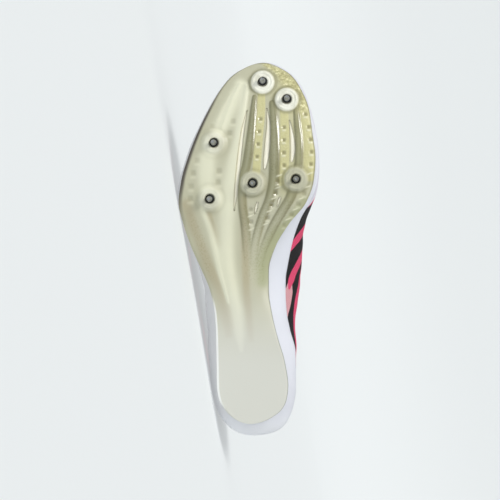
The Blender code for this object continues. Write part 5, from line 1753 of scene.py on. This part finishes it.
def floor_material(looks):
    """Pale floor that lights itself a little, less on the backdrop's curve."""
    f = Finish("pale_floor", Roughness=0.9, Specular_IOR_Level=0.0, Emission_Strength=1.0)
    f.shader.inputs["Base Color"].default_value = (*(c * looks.shade for c in looks.floor), 1)
    height = f.add("ShaderNodeSeparateXYZ", None, {0: f.place()}, 2)
    low, high = (tuple(c * share for c in looks.floor) for share in (looks.glow, looks.wall))
    f.use(Emission_Color=f.mix(height.step(-0.05, 0.45), low, high))
    return f.material


def make_backdrop(looks):
    """Pale floor that curves up into a backdrop on all sides."""
    radius, flat = 1.2, 2.6
    profile = [(0.0, 0.0)]
    for k in range(looks.sides + 1):
        turn = math.pi / 2 * k / looks.sides
        profile.append((flat + radius * math.sin(turn), radius * (1 - math.cos(turn))))
    turns = [2 * math.pi * k / BACKDROP_SIDES for k in range(BACKDROP_SIDES)]
    body = [(reach * math.cos(turn), reach * math.sin(turn), height)
            for reach, height in profile for turn in turns]
    mesh = bpy.data.meshes.new("backdrop")
    mesh.from_pydata(body, [], tube_faces(len(profile), BACKDROP_SIDES))
    with edited(mesh) as form:
        bmesh.ops.remove_doubles(form, verts=form.verts, dist=1e-6)
    mesh.shade_smooth()
    mesh.materials.append(floor_material(looks))
    add_object("backdrop", mesh)


def make_lights(looks):
    """A wide soft light from the toe's inner side, a fill from the heel's side and light all round."""
    right, up, back = picture_axes(looks)[1:]
    main = right * 0.80 + up * 0.50 + back * 0.62
    fill = right * 0.30 - up * 1.8 + back * 0.6
    soft_light("main_light", main, math.radians(22), looks.key, (1, 0.99, 0.97))
    soft_light("fill_light", fill, math.radians(60), looks.fill, (0.97, 0.98, 1))
    world = bpy.data.worlds.new("room")
    bpy.context.scene.world = world
    world.use_nodes = True
    air = world.node_tree.nodes["Background"]
    air.inputs["Color"].default_value = (0.93, 0.96, 0.98, 1)
    air.inputs["Strength"].default_value = looks.air
    bpy.context.scene.view_settings.view_transform = "Standard"


class MakeSole(bpy.types.Operator):
    """Make the sprint plate with its relief, slots and bosses"""
    bl_idname = "spike_shoe.make_sole"
    bl_label = "Make sprint plate"

    def execute(self, context):
        make_plate(context.scene.spike_sole)
        return {"FINISHED"}


class MakeFoam(bpy.types.Operator):
    """Make the foam midsole"""
    bl_idname = "spike_shoe.make_foam"
    bl_label = "Make midsole"

    def execute(self, context):
        make_foam(context.scene.spike_sole)
        return {"FINISHED"}


class MakePins(bpy.types.Operator):
    """Make the six steel pins"""
    bl_idname = "spike_shoe.make_pins"
    bl_label = "Make pins"

    def execute(self, context):
        make_pins(context.scene.spike_sole)
        return {"FINISHED"}


class MakeUpper(bpy.types.Operator):
    """Make the knit upper with its overlays, creases and streaks"""
    bl_idname = "spike_shoe.make_upper"
    bl_label = "Make upper"

    def execute(self, context):
        make_upper(context.scene.spike_upper)
        return {"FINISHED"}


class MakeTongue(bpy.types.Operator):
    """Make the padded tongue and the insole"""
    bl_idname = "spike_shoe.make_tongue"
    bl_label = "Make tongue and insole"

    def execute(self, context):
        make_tongue(context.scene.spike_upper)
        make_insole(context.scene.spike_upper)
        return {"FINISHED"}


class MakeLace(bpy.types.Operator):
    """Make the lace, its eyelets and the rows of stitches"""
    bl_idname = "spike_shoe.make_lace"
    bl_label = "Make lace, eyelets and stitches"

    def execute(self, context):
        make_lace(context.scene.spike_upper)
        make_eyelets(context.scene.spike_upper)
        make_stitches(context.scene.spike_upper)
        return {"FINISHED"}


class MakeStage(bpy.types.Operator):
    """Make the floor, lights and camera"""
    bl_idname = "spike_shoe.make_stage"
    bl_label = "Make stage"

    def execute(self, context):
        make_camera(context.scene.spike_stage)
        make_backdrop(context.scene.spike_stage)
        make_lights(context.scene.spike_stage)
        return {"FINISHED"}


STEPS = (MakeStage, MakeSole, MakeFoam, MakePins, MakeUpper, MakeTongue, MakeLace)


class SpikeShoePanel(bpy.types.Panel):
    """Sizes, colours and steps of the spike shoe"""
    bl_idname = "VIEW3D_PT_spike_shoe"
    bl_label = "Spike shoe"
    bl_space_type = "VIEW_3D"
    bl_region_type = "UI"
    bl_category = "Spike shoe"

    def draw(self, context):
        for group in (context.scene.spike_sole, context.scene.spike_upper, context.scene.spike_stage):
            box = self.layout.box()
            for name in group.__annotations__:
                box.prop(group, name)
        for step in STEPS:
            self.layout.operator(step.bl_idname)


CLASSES = (SoleLooks, UpperLooks, StageLooks, *STEPS, SpikeShoePanel)


def register():
    """Add the classes and the scene's settings."""
    for cls in CLASSES:
        bpy.utils.register_class(cls)
    bpy.types.Scene.spike_sole = PointerProperty(type=SoleLooks)
    bpy.types.Scene.spike_upper = PointerProperty(type=UpperLooks)
    bpy.types.Scene.spike_stage = PointerProperty(type=StageLooks)


def unregister():
    """Remove the classes and the scene's settings."""
    del bpy.types.Scene.spike_stage
    del bpy.types.Scene.spike_upper
    del bpy.types.Scene.spike_sole
    for cls in reversed(CLASSES):
        bpy.utils.unregister_class(cls)


def main():
    """Make every piece in order."""
    register()
    for step in STEPS:
        group, name = step.bl_idname.split(".")
        getattr(getattr(bpy.ops, group), name)()
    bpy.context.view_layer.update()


if __name__ == "__main__":
    main()
